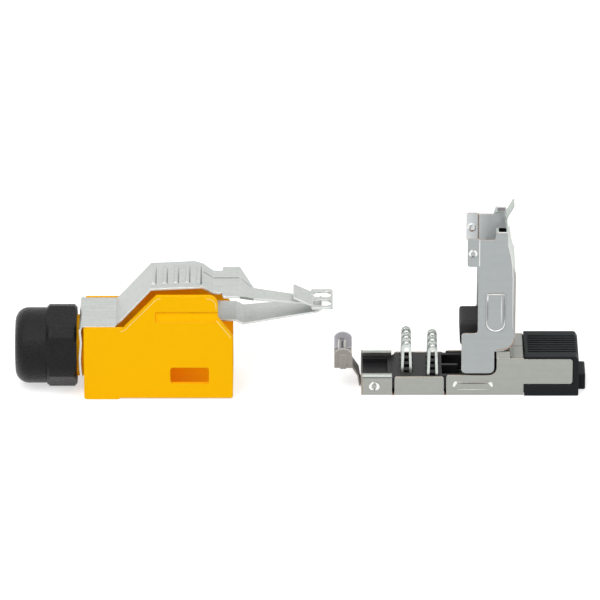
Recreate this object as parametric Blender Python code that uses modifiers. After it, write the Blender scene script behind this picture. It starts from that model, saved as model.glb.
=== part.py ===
"""A field-wired Ethernet plug, shown as it comes apart on the bench.

The left half is the moulded housing with its cable gland and folded latch spring.
The right half is the shielded 8-pole plug that slides into the housing, with its
lid swung open over the cutting contacts. Both halves stand on the same surface.
X runs along the plug with the contact nose at +X, Z is up, and Y = 0 is the middle plane.
"""
import math

import bmesh
import bpy
from mathutils import Matrix

MM = 0.001
RUN = 0.3 * MM  # gap between a piece and the neighbour that it sits on
EPS = 1.0 * MM  # how far a cutter reaches past the face that it opens
SNUG = 0.15 * MM  # gap between plastic or sheet that slides in

# Places of the two halves along X
HOUSING_BACK_X = -41.6 * MM
PLUG_REAR_X = 11.7 * MM

# Housing: X is counted from its back face
HOUSING_LENGTH = 28.6 * MM
HOUSING_WIDTH = 15.0 * MM
HOUSING_WALL = 0.95 * MM
BACK_WALL = 1.4 * MM
FLOOR_WALL = 0.7 * MM
FOOT_LENGTH = 6.6 * MM
FOOT_HEIGHT = 0.3 * MM
BAY_HEIGHT = 11.5 * MM  # clear height of the bay that takes the plug
DECK_WALL = 0.8 * MM  # deck between the bay and the latch channel
DECK_SETBACK = 2.0 * MM
LOW_WALL_RISE = 1.8 * MM  # side walls above the deck, beside the gland
HUMP_RISE = 8.4 * MM  # side walls above the deck, under the finger grip
RAMP_START = 7.8 * MM
RAMP_RUN = 6.2 * MM
HUMP_FRONT = 25.8 * MM
HUMP_ROUND = 1.8 * MM
FAR_CORNER = 3.6 * MM  # the far wall's hump is cut back, clear of the grip
BROW_RISE = 3.9 * MM
GROOVE_START = 13.8 * MM
GROOVE_HEIGHT = 2.1 * MM
GROOVE_DEPTH = 0.35 * MM
GROOVE_RISE = 3.0 * MM
WINDOW_START = 16.6 * MM
WINDOW_LENGTH = 7.4 * MM
WINDOW_HEIGHT = 3.4 * MM
WINDOW_RISE = 2.3 * MM

# Cable gland: X is counted from the housing's back face towards -X
GLAND_Z = 8.1 * MM
NECK_LENGTH = 7.4 * MM
NECK_RADIUS = 5.9 * MM
CAGE_LENGTH = 2.4 * MM
CAGE_FINGERS = 6
CAGE_SLIT = 0.8 * MM
SEAL_BORE = 3.1 * MM
SEAL_WALL = 0.65 * MM
SEAL_LENGTH = 3.8 * MM
NUT_GAP = 1.4 * MM  # room for the latch's foot between nut and housing
NUT_LENGTH = 11.9 * MM
NUT_HEX_LENGTH = 5.8 * MM
NUT_ACROSS_FLATS = 14.7 * MM
NUT_ACROSS_CORNERS = 15.9 * MM
NUT_WALL = 1.1 * MM
NUT_END_WALL = 2.0 * MM
NUT_DOME_ROUND = 2.6 * MM
NUT_TURN_DEG = 18.2
CABLE_HOLE = 3.7 * MM
RING_THICKNESS = 0.7 * MM

# Latch: one folded strip of spring steel with a leaf spring under it
LATCH_SHEET = 0.4 * MM
LATCH_LIFT = 1.4 * MM  # its hump over the tops of the housing's side walls
LATCH_PAD_HALF = 6.75 * MM
LATCH_HUMP_HALF = 6.1 * MM
LATCH_WAIST_HALF = 5.25 * MM
LATCH_EAR_HALF = 6.95 * MM
LATCH_TONGUE_HALF = 1.85 * MM
LATCH_TIP_HALF = 4.3 * MM
LATCH_BARB_HALF = 3.1 * MM
LATCH_LEAF_HALF = 4.65 * MM
LATCH_LEAF_END_HALF = 3.0 * MM
LATCH_REACH = 47.8 * MM
LEAF_FLAT = 8.0 * MM
BEAD_RISE = 0.14 * MM  # raised beads and catches on the sheet
GRIP_RIBS = 5
GRIP_PITCH = 2.16 * MM
GRIP_RADIUS = 0.42 * MM
GRIP_HALF = 3.9 * MM
TIP_SLOT_WIDTH = 2.7 * MM
TIP_SLOT_PITCH = 3.9 * MM

# Plug shell: X is counted from the shell's rear edge
SHELL_HALF = 5.8 * MM
SHELL_SHEET = 0.3 * MM
SHELL_REAR_TOP = 4.3 * MM
SHELL_MIDDLE_TOP = 4.0 * MM
SHELL_FRONT_TOP = 4.3 * MM
SHELL_COLLAR_TOP = 7.9 * MM
SHELL_REAR_LENGTH = 5.9 * MM
SHELL_MIDDLE_LENGTH = 9.45 * MM
SHELL_LENGTH = 31.2 * MM
SHELL_SLIT = 0.5 * MM
COLLAR_LENGTH = 5.2 * MM
BEAD_SETBACK = 5.9 * MM  # from the shell's front edge back to the bead's end
BEAD_LENGTH = 7.7 * MM
BEAD_WIDTH = 1.7 * MM
BEAD_LOW_Z = 1.25 * MM
COLLAR_PANEL = 2.8 * MM
ARM_LENGTH = 9.4 * MM
ARM_LOW_Z = 2.5 * MM
ARM_HIGH_Z = 7.7 * MM
CLAMP_WIDTH = 3.4 * MM
CLAMP_OVERHANG = 5.2 * MM  # how far the cable clamp starts behind the shell
CLAMP_HALF = 4.05 * MM
CLAMP_LOW_Z = 4.4 * MM
CLAMP_TOP_Z = 9.1 * MM
CLAMP_ROUND = 1.6 * MM
CLAMP_NECK_HALF = 2.2 * MM

# Plug inner pieces
NOSE_LENGTH = 10.6 * MM
NOSE_PROUD = 0.05 * MM  # nose over the side of the shell
NOSE_TOP_Z = 8.35 * MM
NOSE_TAIL = 2.5 * MM
KEY_HALF = 3.05 * MM
KEY_LENGTH = 1.4 * MM
KEY_TOP_Z = 3.3 * MM
POLES = 8
POLE_PITCH = 1.02 * MM
POLE_SLOT = 0.62 * MM
POLE_SLOT_LENGTH = 9.8 * MM
POLE_SLOT_DEPTH = 1.9 * MM
CATCH_RADIUS = 0.7 * MM
CATCH_X = 2.4 * MM  # from the shell's rear edge
CATCH_Z = 2.05 * MM
BLADE_THICKNESS = 0.3 * MM
BLADE_HEIGHT = 0.9 * MM
BOARD_THICKNESS = 0.4 * MM
CARRIER_TOP_Z = 4.0 * MM
CARRIER_REAR_TOP_Z = 3.2 * MM
WELL_WALL = 0.95 * MM
CUTTER_ROW_X = 8.7 * MM
CUTTER_ROW_STEP = 5.0 * MM
CUTTER_EDGE = 0.15 * MM  # wall between the outer contact and the carrier's side
CUTTER_STAGGER = 1.3 * MM
CUTTER_SPAN = 2.15 * MM  # across the legs at the top of the carrier
CUTTER_CROWN = 0.92 * MM
CUTTER_WIDTH = 1.0 * MM
CUTTER_SHEET = 0.5 * MM
CUTTER_SLOT = 0.3 * MM
CUTTER_TOP_Z = 9.8 * MM

# Lid, drawn upright as it stands open: X and Z are counted from its pivot
PIVOT_SETBACK = 3.3 * MM  # from the front edge of the shell back to the pivot
PIVOT_Z = 9.6 * MM
PIN_RADIUS = 0.45 * MM
KNUCKLE_WALL = 0.45 * MM
LEAF_HALF = 1.8 * MM  # half width of the lid's own knuckle
KNUCKLE_CLEARANCE = 0.08 * MM
LID_CLEARANCE = 0.2 * MM  # lid walls over the shell's walls
LID_FRONT = 5.6 * MM  # the lid's open edge in front of the pivot
LID_BACK = 1.6 * MM
LID_SETBACK = 4.3 * MM  # the shut lid's walls end this far in front of the shell's rear edge
LID_LEAF_HALF = 1.8 * MM  # the bent leaf at the end of the lid's back
LID_LEAF_RISE = 4.85 * MM
FOLD_RISE = 1.3 * MM  # the small folded tabs at the end of the lid's walls
FOLD_DEPTH = 2.4 * MM
LOBE_REACH = 8.7 * MM
LOBE_BACK = 2.4 * MM
LOBE_DROP = 4.6 * MM
LOBE_RISE = 3.8 * MM
BLOCK_LOW = 7.4 * MM
BLOCK_FOOT = 3.8 * MM
BLOCK_DROP = 7.35 * MM  # block below the end of the lid's walls
END_HEIGHT = 1.3 * MM
END_REACH = 4.25 * MM
END_NOTCH = 2.8 * MM
PAD_CLEARANCE = 0.4 * MM
PAD_REACH = 9.0 * MM
PAD_LOW = 0.25 * MM
PAD_HEIGHT = 5.0 * MM
PAD_ROUND = 0.9 * MM


def clear_scene():
    for obj in list(bpy.data.objects):
        bpy.data.objects.remove(obj)


def make_material(name, colour, roughness, metallic):
    made = bpy.data.materials.new(name)
    made.use_nodes = True
    shader = made.node_tree.nodes["Principled BSDF"]
    shader.inputs["Base Color"].default_value = (*colour, 1.0)
    shader.inputs["Roughness"].default_value = roughness
    shader.inputs["Metallic"].default_value = metallic
    return made


def link_mesh(name, mesh):
    obj = bpy.data.objects.new(name, mesh)
    PLUG_PARTS.objects.link(obj)
    return obj


def from_bmesh(name, bm):
    mesh = bpy.data.meshes.new(name)
    bm.to_mesh(mesh)
    bm.free()
    return link_mesh(name, mesh)


def freeze(obj):
    """Replaces a curve or a modified mesh by the welded mesh that it makes."""
    graph = bpy.context.evaluated_depsgraph_get()
    mesh = bpy.data.meshes.new_from_object(obj.evaluated_get(graph))
    bm = bmesh.new()
    bm.from_mesh(mesh)
    bmesh.ops.remove_doubles(bm, verts=bm.verts, dist=1e-6)
    bmesh.ops.recalc_face_normals(bm, faces=bm.faces)
    bm.to_mesh(mesh)
    bm.free()
    mesh.transform(obj.matrix_world)
    name = obj.name
    bpy.data.objects.remove(obj)
    return link_mesh(name, mesh)


def combine(target, tool, operation):
    """Cuts, joins or intersects target with tool, and removes the tool."""
    modifier = target.modifiers.new(operation, "BOOLEAN")
    modifier.operation = operation
    modifier.object = tool
    bpy.context.view_layer.update()
    made = freeze(target)
    bpy.data.objects.remove(tool)
    return made


def cut(target, *tools):
    for tool in tools:
        target = combine(target, tool, "DIFFERENCE")
    return target


def join(target, *tools):
    for tool in tools:
        target = combine(target, tool, "UNION")
    return target


def keep_inside(target, tool):
    return combine(target, tool, "INTERSECT")


def box(name, x_span, y_span, z_span):
    bm = bmesh.new()
    bmesh.ops.create_cube(bm, size=1.0)
    spans = (x_span, y_span, z_span)
    sizes = [high - low for low, high in spans]
    middle = [(low + high) / 2 for low, high in spans]
    bm.transform(Matrix.Translation(middle) @ Matrix.Diagonal((*sizes, 1.0)))
    return from_bmesh(name, bm)


def rounded(corners, steps=4):
    """Points of an outline whose corners are (x, y) or (x, y, radius), each radius swept as an arc."""
    points = []
    count = len(corners)
    for index, corner in enumerate(corners):
        x, y = corner[:2]
        radius = corner[2] if len(corner) > 2 else 0.0
        if radius <= 0.0:
            points.append((x, y))
            continue
        before = corners[index - 1]
        after = corners[(index + 1) % count]
        to_before = math.atan2(before[1] - y, before[0] - x)
        to_after = math.atan2(after[1] - y, after[0] - x)
        opening = (to_after - to_before + math.pi) % (2 * math.pi) - math.pi
        reach = radius / math.tan(abs(opening) / 2)
        middle = to_before + opening / 2
        distance = radius / math.sin(abs(opening) / 2)
        centre = (x + distance * math.cos(middle), y + distance * math.sin(middle))
        start = (x + reach * math.cos(to_before), y + reach * math.sin(to_before))
        first = math.atan2(start[1] - centre[1], start[0] - centre[0])
        sweep = math.copysign(math.pi - abs(opening), -opening)
        for step in range(steps + 1):
            angle = first + sweep * step / steps
            points.append((centre[0] + radius * math.cos(angle), centre[1] + radius * math.sin(angle)))
    return points


PLANES = {
    "XZ": Matrix(((1, 0, 0, 0), (0, 0, -1, 0), (0, 1, 0, 0), (0, 0, 0, 1))),
    "XY": Matrix.Identity(4),
    "YZ": Matrix(((0, 0, 1, 0), (1, 0, 0, 0), (0, 1, 0, 0), (0, 0, 0, 1))),
}
NORMAL_AXIS = {"XZ": 1, "XY": 2, "YZ": 0}


def plate(name, outline, span, plane="XZ"):
    """A flat outline in the given plane, carried over span along that plane's normal."""
    curve = bpy.data.curves.new(name, "CURVE")
    curve.dimensions = "2D"
    curve.fill_mode = "BOTH"
    curve.extrude = (span[1] - span[0]) / 2
    spline = curve.splines.new("POLY")
    spline.points.add(len(outline) - 1)
    for point, (u, v) in zip(spline.points, outline):
        point.co = (u, v, 0.0, 1.0)
    spline.use_cyclic_u = True
    obj = bpy.data.objects.new(name, curve)
    PLUG_PARTS.objects.link(obj)
    offset = [0.0, 0.0, 0.0]
    offset[NORMAL_AXIS[plane]] = (span[0] + span[1]) / 2
    obj.matrix_world = Matrix.Translation(offset) @ PLANES[plane]
    bpy.context.view_layer.update()
    return freeze(obj)


def side_span(sign, inner, outer):
    return tuple(sorted((sign * inner, sign * outer)))


def sheet(name, path, span, thickness, plane="XZ"):
    """Bent sheet metal: an open strip along path, given its thickness by Solidify."""
    bm = bmesh.new()
    rows = [[bm.verts.new((u, v, w)) for u, v in path] for w in span]
    for index in range(len(path) - 1):
        bm.faces.new((rows[0][index], rows[0][index + 1], rows[1][index + 1], rows[1][index]))
    obj = from_bmesh(name, bm)
    turn = PLANES[plane].copy()
    if plane == "XZ":
        turn = turn @ Matrix.Diagonal((1, 1, -1, 1))
    obj.matrix_world = turn
    solidify = obj.modifiers.new("sheet thickness", "SOLIDIFY")
    solidify.thickness = thickness
    solidify.offset = 0.0
    solidify.use_even_offset = True
    bpy.context.view_layer.update()
    return freeze(obj)


def turned(name, profile, centre_z, steps=32):
    """A closed profile of (x, radius) points swept round the X axis at height centre_z."""
    bm = bmesh.new()
    points = [bm.verts.new((x, 0.0, radius)) for x, radius in profile]
    for index, point in enumerate(points):
        bm.edges.new((point, points[(index + 1) % len(points)]))
    obj = from_bmesh(name, bm)
    obj.location.z = centre_z
    screw = obj.modifiers.new("turn", "SCREW")
    screw.axis = "X"
    screw.steps = screw.render_steps = steps
    screw.use_merge_vertices = True
    screw.merge_threshold = 1e-6
    bpy.context.view_layer.update()
    return freeze(obj)


def rod(name, centre, radius, length, axis, segments=24):
    """A round bar centred on a point, along the X or the Y axis."""
    bm = bmesh.new()
    bmesh.ops.create_cone(
        bm, cap_ends=True, segments=segments, radius1=radius, radius2=radius, depth=length
    )
    turn = Matrix.Rotation(math.pi / 2, 4, "Y" if axis == "X" else "X")
    bm.transform(Matrix.Translation(centre) @ turn)
    return from_bmesh(name, bm)


def arc(centre, radius, start, end, steps):
    """Points on an arc; the angles are in degrees."""
    angles = [math.radians(start + (end - start) * step / steps) for step in range(steps + 1)]
    return [(centre[0] + radius * math.cos(a), centre[1] + radius * math.sin(a)) for a in angles]


def finish(obj, name, material, sharp_degrees=35.0):
    obj.name = name
    obj.data.name = name
    obj.data.materials.clear()
    obj.data.materials.append(material)
    obj.data.shade_smooth()
    obj.data.set_sharp_from_angle(angle=math.radians(sharp_degrees))
    return obj


def shifted(points, shift):
    return [(x + shift, *rest) for x, *rest in points]


def edge_break(obj, width, segments=2):
    """Rounds the right-angled edges of a plain prism."""
    bevel = obj.modifiers.new("edge break", "BEVEL")
    bevel.width = width
    bevel.segments = segments
    bevel.limit_method = "ANGLE"
    bevel.angle_limit = math.radians(60)
    bpy.context.view_layer.update()
    return freeze(obj)


def spun_solid(name, profile, centre_z, steps=40):
    """A solid of revolution; its profile starts and ends on the axis."""
    bm = bmesh.new()
    points = [bm.verts.new((x, 0.0, radius)) for x, radius in profile]
    for first, second in zip(points, points[1:]):
        bm.edges.new((first, second))
    obj = from_bmesh(name, bm)
    obj.location.z = centre_z
    screw = obj.modifiers.new("turn", "SCREW")
    screw.axis = "X"
    screw.steps = screw.render_steps = steps
    screw.use_merge_vertices = True
    screw.merge_threshold = 1e-6
    bpy.context.view_layer.update()
    return freeze(obj)


def housing_heights():
    bay_floor = FOOT_HEIGHT + FLOOR_WALL
    bay_top = bay_floor + BAY_HEIGHT
    return bay_floor, bay_top, bay_top + DECK_WALL


def housing_outline():
    """Side outline of the housing, with X counted from its back face."""
    deck = housing_heights()[2]
    low, hump = deck + LOW_WALL_RISE, deck + HUMP_RISE
    brow = deck + BROW_RISE
    return [
        (0.0, 0.0, 0.6 * MM),
        (FOOT_LENGTH, 0.0),
        (FOOT_LENGTH + FOOT_HEIGHT, FOOT_HEIGHT),
        (HOUSING_LENGTH, FOOT_HEIGHT, 0.4 * MM),
        (HOUSING_LENGTH, deck, 0.4 * MM),
        (HUMP_FRONT, brow),
        (HUMP_FRONT, hump, HUMP_ROUND),
        (RAMP_START + RAMP_RUN, hump, 0.6 * MM),
        (RAMP_START, low, 0.6 * MM),
        (0.0, low, 0.4 * MM),
    ]


def make_housing():
    floor, ceiling, deck = housing_heights()
    half = HOUSING_WIDTH / 2
    inner = half - HOUSING_WALL
    back = HOUSING_BACK_X
    front = back + HOUSING_LENGTH
    top = deck + HUMP_RISE
    body = plate("housing", rounded(shifted(housing_outline(), back)), (-half, half))
    body = edge_break(body, 0.3 * MM)
    bay = box(
        "bay", (back + BACK_WALL, front + EPS), (-inner, inner), (floor, ceiling)
    )
    channel = box("latch channel", (back - EPS, front + EPS), (-inner, inner), (deck, top + EPS))
    setback = box(
        "deck setback", (front - DECK_SETBACK, front + EPS), (-inner, inner), (ceiling - EPS, top)
    )
    rebate = box(
        "pad rebate",
        (back - EPS, back + RAMP_START),
        (-half + HOUSING_WALL / 2, half - HOUSING_WALL / 2),
        (deck + LOW_WALL_RISE - 1.1 * MM, top),
    )
    hump_front = back + HUMP_FRONT
    far_corner = plate("far corner", [
        (hump_front - FAR_CORNER, top + EPS),
        (hump_front - FAR_CORNER, top - 0.4 * MM),
        (hump_front - 0.6 * MM, top - FAR_CORNER),
        (hump_front + EPS, top - FAR_CORNER),
        (hump_front + EPS, top + EPS),
    ], (inner - EPS, half + EPS))
    body = cut(body, bay, channel, setback, rebate, far_corner)
    window = rounded(
        [
            (back + WINDOW_START, floor + WINDOW_RISE, 0.5 * MM),
            (back + WINDOW_START + WINDOW_LENGTH, floor + WINDOW_RISE, 0.5 * MM),
            (back + WINDOW_START + WINDOW_LENGTH, floor + WINDOW_RISE + WINDOW_HEIGHT, 0.5 * MM),
            (back + WINDOW_START, floor + WINDOW_RISE + WINDOW_HEIGHT, 0.5 * MM),
        ]
    )
    body = cut(body, plate("side windows", window, (-half - EPS, half + EPS)))
    for sign in (-1, 1):
        groove = box(
            "side groove",
            (back + GROOVE_START, front + EPS),
            side_span(sign, half - GROOVE_DEPTH, half + EPS),
            (deck + GROOVE_RISE, deck + GROOVE_RISE + GROOVE_HEIGHT),
        )
        body = cut(body, groove)
    neck_end = back - NECK_LENGTH
    cage_end = neck_end - CAGE_LENGTH
    bore = SEAL_BORE + SEAL_WALL + RUN / 2
    neck_profile = [
        (back + BACK_WALL / 2, 0.0),
        (back + BACK_WALL / 2, NECK_RADIUS),
        (neck_end, NECK_RADIUS),
        (neck_end, bore + 1.3 * MM),
        (cage_end, bore + 0.7 * MM),
        (cage_end, 0.0),
    ]
    body = join(body, spun_solid("gland neck", neck_profile, GLAND_Z))
    bore_span = (cage_end - EPS, back + BACK_WALL + EPS)
    middle = (sum(bore_span) / 2, 0.0, GLAND_Z)
    body = cut(body, rod("cable bore", middle, bore, bore_span[1] - bore_span[0], "X", 40))
    for finger in range(CAGE_FINGERS // 2):
        slit = box(
            "cage slit", (cage_end - EPS, neck_end + RUN), (-CAGE_SLIT / 2, CAGE_SLIT / 2), (-8 * MM, 8 * MM)
        )
        slit.data.transform(
            Matrix.Translation((0, 0, GLAND_Z)) @ Matrix.Rotation(finger * 2 * math.pi / CAGE_FINGERS, 4, "X")
        )
        body = cut(body, slit)
    return body


def make_gland_seal():
    start = HOUSING_BACK_X - NECK_LENGTH + SEAL_LENGTH / 2
    end = start - SEAL_LENGTH
    profile = [
        (start, SEAL_BORE),
        (start, SEAL_BORE + SEAL_WALL),
        (end, SEAL_BORE + SEAL_WALL),
        (end, SEAL_BORE),
    ]
    return turned("gland_seal", profile, GLAND_Z)


def nut_span():
    mouth = HOUSING_BACK_X - NUT_GAP
    return mouth, mouth - NUT_LENGTH


def nut_bore():
    return NECK_RADIUS + RUN


def make_slip_ring():
    end = nut_span()[1] + NUT_END_WALL + RUN
    outer = nut_bore() - 2 * RUN
    profile = [
        (end, CABLE_HOLE),
        (end, outer),
        (end + RING_THICKNESS, outer),
        (end + RING_THICKNESS, CABLE_HOLE),
    ]
    return turned("gland_slip_ring", profile, GLAND_Z)


def make_gland_nut():
    mouth, end = nut_span()
    bore = nut_bore()
    dome = bore + NUT_WALL
    shoulder = end + NUT_END_WALL
    hexagon = [
        (NUT_ACROSS_FLATS / math.sqrt(3) * math.cos(a), NUT_ACROSS_FLATS / math.sqrt(3) * math.sin(a))
        for a in [math.radians(NUT_TURN_DEG + 60 * k) for k in range(6)]
    ]
    blank = plate("gland_nut", hexagon, (mouth - NUT_HEX_LENGTH, mouth), "YZ")
    blank.data.transform(Matrix.Translation((0, 0, GLAND_Z)))
    corner = NUT_ACROSS_CORNERS / 2
    chamfer = 0.5 * MM
    envelope = [
        (mouth + EPS, 0.0),
        (mouth, corner - chamfer),
        (mouth - chamfer, corner),
        (mouth - NUT_HEX_LENGTH + chamfer, corner),
        (mouth - NUT_HEX_LENGTH - 0.1 * MM, corner - chamfer),
        (mouth - NUT_HEX_LENGTH - EPS, 0.0),
    ]
    blank = keep_inside(blank, spun_solid("hex corners", envelope, GLAND_Z))
    rim = arc((end + NUT_DOME_ROUND, dome - NUT_DOME_ROUND), NUT_DOME_ROUND, 180, 90, 6)
    start = mouth - NUT_HEX_LENGTH / 2
    blank = join(blank, spun_solid("dome", [(end, 0.0), *rim, (start, dome), (start, 0.0)], GLAND_Z))
    hollow = [
        (mouth + EPS, 0.0),
        (mouth + EPS, bore),
        (shoulder, bore),
        (shoulder, CABLE_HOLE),
        (end - EPS, CABLE_HOLE),
        (end - EPS, 0.0),
    ]
    return cut(blank, spun_solid("nut hollow", hollow, GLAND_Z))


def mirrored(half_outline):
    """Closes an outline drawn for +Y with its mirror image on the -Y side."""
    return half_outline + [(x, -y, *rest) for x, y, *rest in reversed(half_outline)]


def latch_stations():
    """Places along the latch, measured at the middle of the sheet."""
    back = HOUSING_BACK_X
    deck = housing_heights()[2]
    hump_front = back + HUMP_FRONT - 4.6 * MM
    hump_top = deck + HUMP_RISE + LATCH_LIFT - LATCH_SHEET / 2
    return {
        "pad_z": deck + LOW_WALL_RISE - 0.25 * MM,
        "ramp_foot": back + RAMP_START - 1.7 * MM,
        "hump_back": back + RAMP_START + RAMP_RUN - 1.1 * MM,
        "hump_front": hump_front,
        "hump_top": hump_top,
        "step_foot": hump_front + 3.6 * MM,
        "ear_back": hump_front + 5.4 * MM,
        "ear_front": hump_front + 8.7 * MM,
        "platform_z": hump_top - 1.6 * MM,
        "tongue_back": hump_front + 11.4 * MM,
        "tongue_front": back + LATCH_REACH - 7.6 * MM,
        "tip_back": back + LATCH_REACH - 4.2 * MM,
        "tip_front": back + LATCH_REACH,
        "tip_z": hump_top - 5.15 * MM,
    }


def make_latch_lever():
    at = latch_stations()
    back = HOUSING_BACK_X
    foot_x = back - NUT_GAP / 2
    path = [
        (foot_x + 0.22 * MM, GLAND_Z - 3.6 * MM),
        (foot_x + 0.02 * MM, GLAND_Z - 1.8 * MM),
        (foot_x - 0.06 * MM, GLAND_Z + 0.4 * MM),
        (foot_x + 0.06 * MM, GLAND_Z + 2.2 * MM),
        (foot_x + 0.2 * MM, GLAND_Z + 3.8 * MM),
        (foot_x + 0.02 * MM, at["pad_z"] - 0.9 * MM),
        *arc((foot_x + 0.52 * MM, at["pad_z"] - 0.5 * MM), 0.5 * MM, 180, 90, 4),
        (at["ramp_foot"], at["pad_z"]),
        (at["hump_back"], at["hump_top"] - 0.4 * MM),
        (at["hump_front"], at["hump_top"]),
        (at["hump_front"] + 1.6 * MM, at["hump_top"] - 0.2 * MM),
        (at["step_foot"], at["platform_z"]),
        (at["ear_front"], at["platform_z"]),
        (at["tongue_back"], at["tip_z"] + 1.1 * MM),
        (at["tongue_front"], at["tip_z"] + 0.15 * MM),
        (at["tip_back"], at["tip_z"]),
        (at["tip_front"], at["tip_z"]),
    ]
    widest = HOUSING_WIDTH / 2 - 0.1 * MM
    lever = sheet("latch_lever", path, (-widest, widest), LATCH_SHEET)
    plan = mirrored(
        [
            (back - 2 * NUT_GAP, widest),
            (back - 0.45 * MM, widest),
            (back - 0.1 * MM, LATCH_PAD_HALF),
            (at["ramp_foot"], LATCH_PAD_HALF, 0.3 * MM),
            (at["ramp_foot"] + 0.3 * MM, LATCH_HUMP_HALF),
            (at["hump_front"], LATCH_HUMP_HALF, 0.5 * MM),
            (at["step_foot"] - 1.2 * MM, LATCH_WAIST_HALF),
            (at["ear_back"], LATCH_WAIST_HALF - 0.2 * MM, 0.3 * MM),
            (at["ear_back"], LATCH_EAR_HALF, 0.5 * MM),
            (at["ear_front"], LATCH_EAR_HALF, 0.5 * MM),
            (at["tongue_back"], LATCH_TONGUE_HALF + 0.6 * MM, 0.6 * MM),
            (at["tongue_front"], LATCH_TONGUE_HALF),
            (at["tip_back"], LATCH_TONGUE_HALF, 0.3 * MM),
            (at["tip_back"], LATCH_TIP_HALF, 0.4 * MM),
            (at["tip_front"], LATCH_TIP_HALF, 0.6 * MM),
        ]
    )
    foot_box = box(
        "foot", (back - 2 * NUT_GAP, back + EPS), (-widest, widest), (0.0, at["pad_z"] - 2 * LATCH_SHEET)
    )
    plan_span = (at["pad_z"] - 3 * LATCH_SHEET, at["hump_top"] + 2 * EPS)
    outer = join(plate("latch plan", rounded(plan, 3), plan_span, "XY"), foot_box)
    lever = keep_inside(lever, outer)
    opening = NECK_RADIUS + 0.25 * MM
    foot_span = (back - NUT_GAP, back - 0.05 * MM)
    arch = [
        (-opening, 0.0),
        (opening, 0.0),
        *[(y, z) for y, z in arc((0.0, GLAND_Z), opening, 0, 180, 16)],
    ]
    lever = cut(lever, plate("fork opening", arch, foot_span, "YZ"))
    slope = 0.4 * MM / (at["hump_front"] - at["hump_back"])
    for rib in range(GRIP_RIBS):
        x = at["hump_back"] + 0.5 * MM + rib * GRIP_PITCH
        z = at["hump_top"] - max(0.0, at["hump_front"] - x) * slope + 0.1 * MM
        lever = join(lever, rod("grip rib", (x, 0.0, z), GRIP_RADIUS, 2 * GRIP_HALF, "Y", 14))
    for sign in (-1, 1):
        middle = sign * TIP_SLOT_PITCH / 2
        low, high = middle - TIP_SLOT_WIDTH / 2, middle + TIP_SLOT_WIDTH / 2
        near, far = at["tip_back"] + 0.45 * MM, at["tip_front"] - 0.35 * MM
        slot = rounded([(near, low, 1 * MM), (far, low, 1 * MM), (far, high, 1 * MM), (near, high, 1 * MM)])
        lever = cut(lever, plate("tip slot", slot, (at["tip_z"] - EPS, at["tip_z"] + EPS), "XY"))
    barb = sheet(
        "barb",
        [
            (at["tip_back"] + 0.3 * MM, at["tip_z"]),
            (at["tongue_front"] + 0.05 * MM, at["tip_z"] + 1.65 * MM),
        ],
        (-LATCH_BARB_HALF, LATCH_BARB_HALF),
        LATCH_SHEET - 0.06 * MM,
    )
    return join(lever, barb)


def make_latch_leaf():
    at = latch_stations()
    start = at["hump_front"] + 1.4 * MM
    bend = start + LEAF_FLAT
    end = at["tip_back"] + 1.3 * MM
    leaf_z = at["tip_z"] - 2.5 * MM
    path = [
        (start, leaf_z + 0.2 * MM),
        (bend - 1.4 * MM, leaf_z),
        (bend, leaf_z - 0.7 * MM),
        (end, leaf_z + 1.25 * MM),
        (end + 0.75 * MM, at["tip_z"] - LATCH_SHEET - RUN),
    ]
    leaf = sheet("latch_leaf", path, (-LATCH_LEAF_HALF, LATCH_LEAF_HALF), LATCH_SHEET - 0.05 * MM)
    plan = mirrored(
        [
            (start - EPS, LATCH_LEAF_HALF - 0.3 * MM),
            (bend, LATCH_LEAF_HALF - 0.3 * MM, 1 * MM),
            (end, LATCH_LEAF_END_HALF),
            (end + 2 * MM, LATCH_LEAF_END_HALF),
        ]
    )
    return keep_inside(leaf, plate("leaf plan", rounded(plan, 3), (0.0, 30 * MM), "XY"))


def shell_walls():
    """Side outline of the shell's walls and arms, with X counted from the shell's rear edge."""
    slit_low = 3 * SHELL_SHEET
    middle = SHELL_REAR_LENGTH + SHELL_SLIT
    front = middle + SHELL_MIDDLE_LENGTH + SHELL_SLIT
    return [
        (0.0, 0.0),
        (SHELL_LENGTH, 0.0),
        (SHELL_LENGTH, ARM_LOW_Z),
        (SHELL_LENGTH + ARM_LENGTH, ARM_LOW_Z, 0.5 * MM),
        (SHELL_LENGTH + ARM_LENGTH, ARM_HIGH_Z, 0.5 * MM),
        (SHELL_LENGTH, ARM_HIGH_Z),
        (SHELL_LENGTH, SHELL_COLLAR_TOP),
        (SHELL_LENGTH - COLLAR_LENGTH, SHELL_COLLAR_TOP, 0.4 * MM),
        (SHELL_LENGTH - COLLAR_LENGTH, SHELL_FRONT_TOP, 1.5 * MM),
        (front, SHELL_FRONT_TOP, 0.4 * MM),
        (front, slit_low),
        (front - SHELL_SLIT, slit_low),
        (front - SHELL_SLIT, SHELL_MIDDLE_TOP, 0.4 * MM),
        (middle, SHELL_MIDDLE_TOP, 0.4 * MM),
        (middle, slit_low),
        (SHELL_REAR_LENGTH, slit_low),
        (SHELL_REAR_LENGTH, SHELL_REAR_TOP),
        (0.0, SHELL_REAR_TOP),
    ]


def carrier_half():
    return SHELL_HALF - SHELL_SHEET - SNUG


def well_half():
    return carrier_half() - WELL_WALL


def lid_half():
    return SHELL_HALF + LID_CLEARANCE + SHELL_SHEET


def cutter_pitch():
    """Spacing of the cutting contacts in one row: the outermost stand just inside the carrier's sides."""
    outermost = carrier_half() - CUTTER_EDGE - SNUG - CUTTER_WIDTH / 2
    return (outermost - CUTTER_STAGGER / 2) / 1.5


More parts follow.
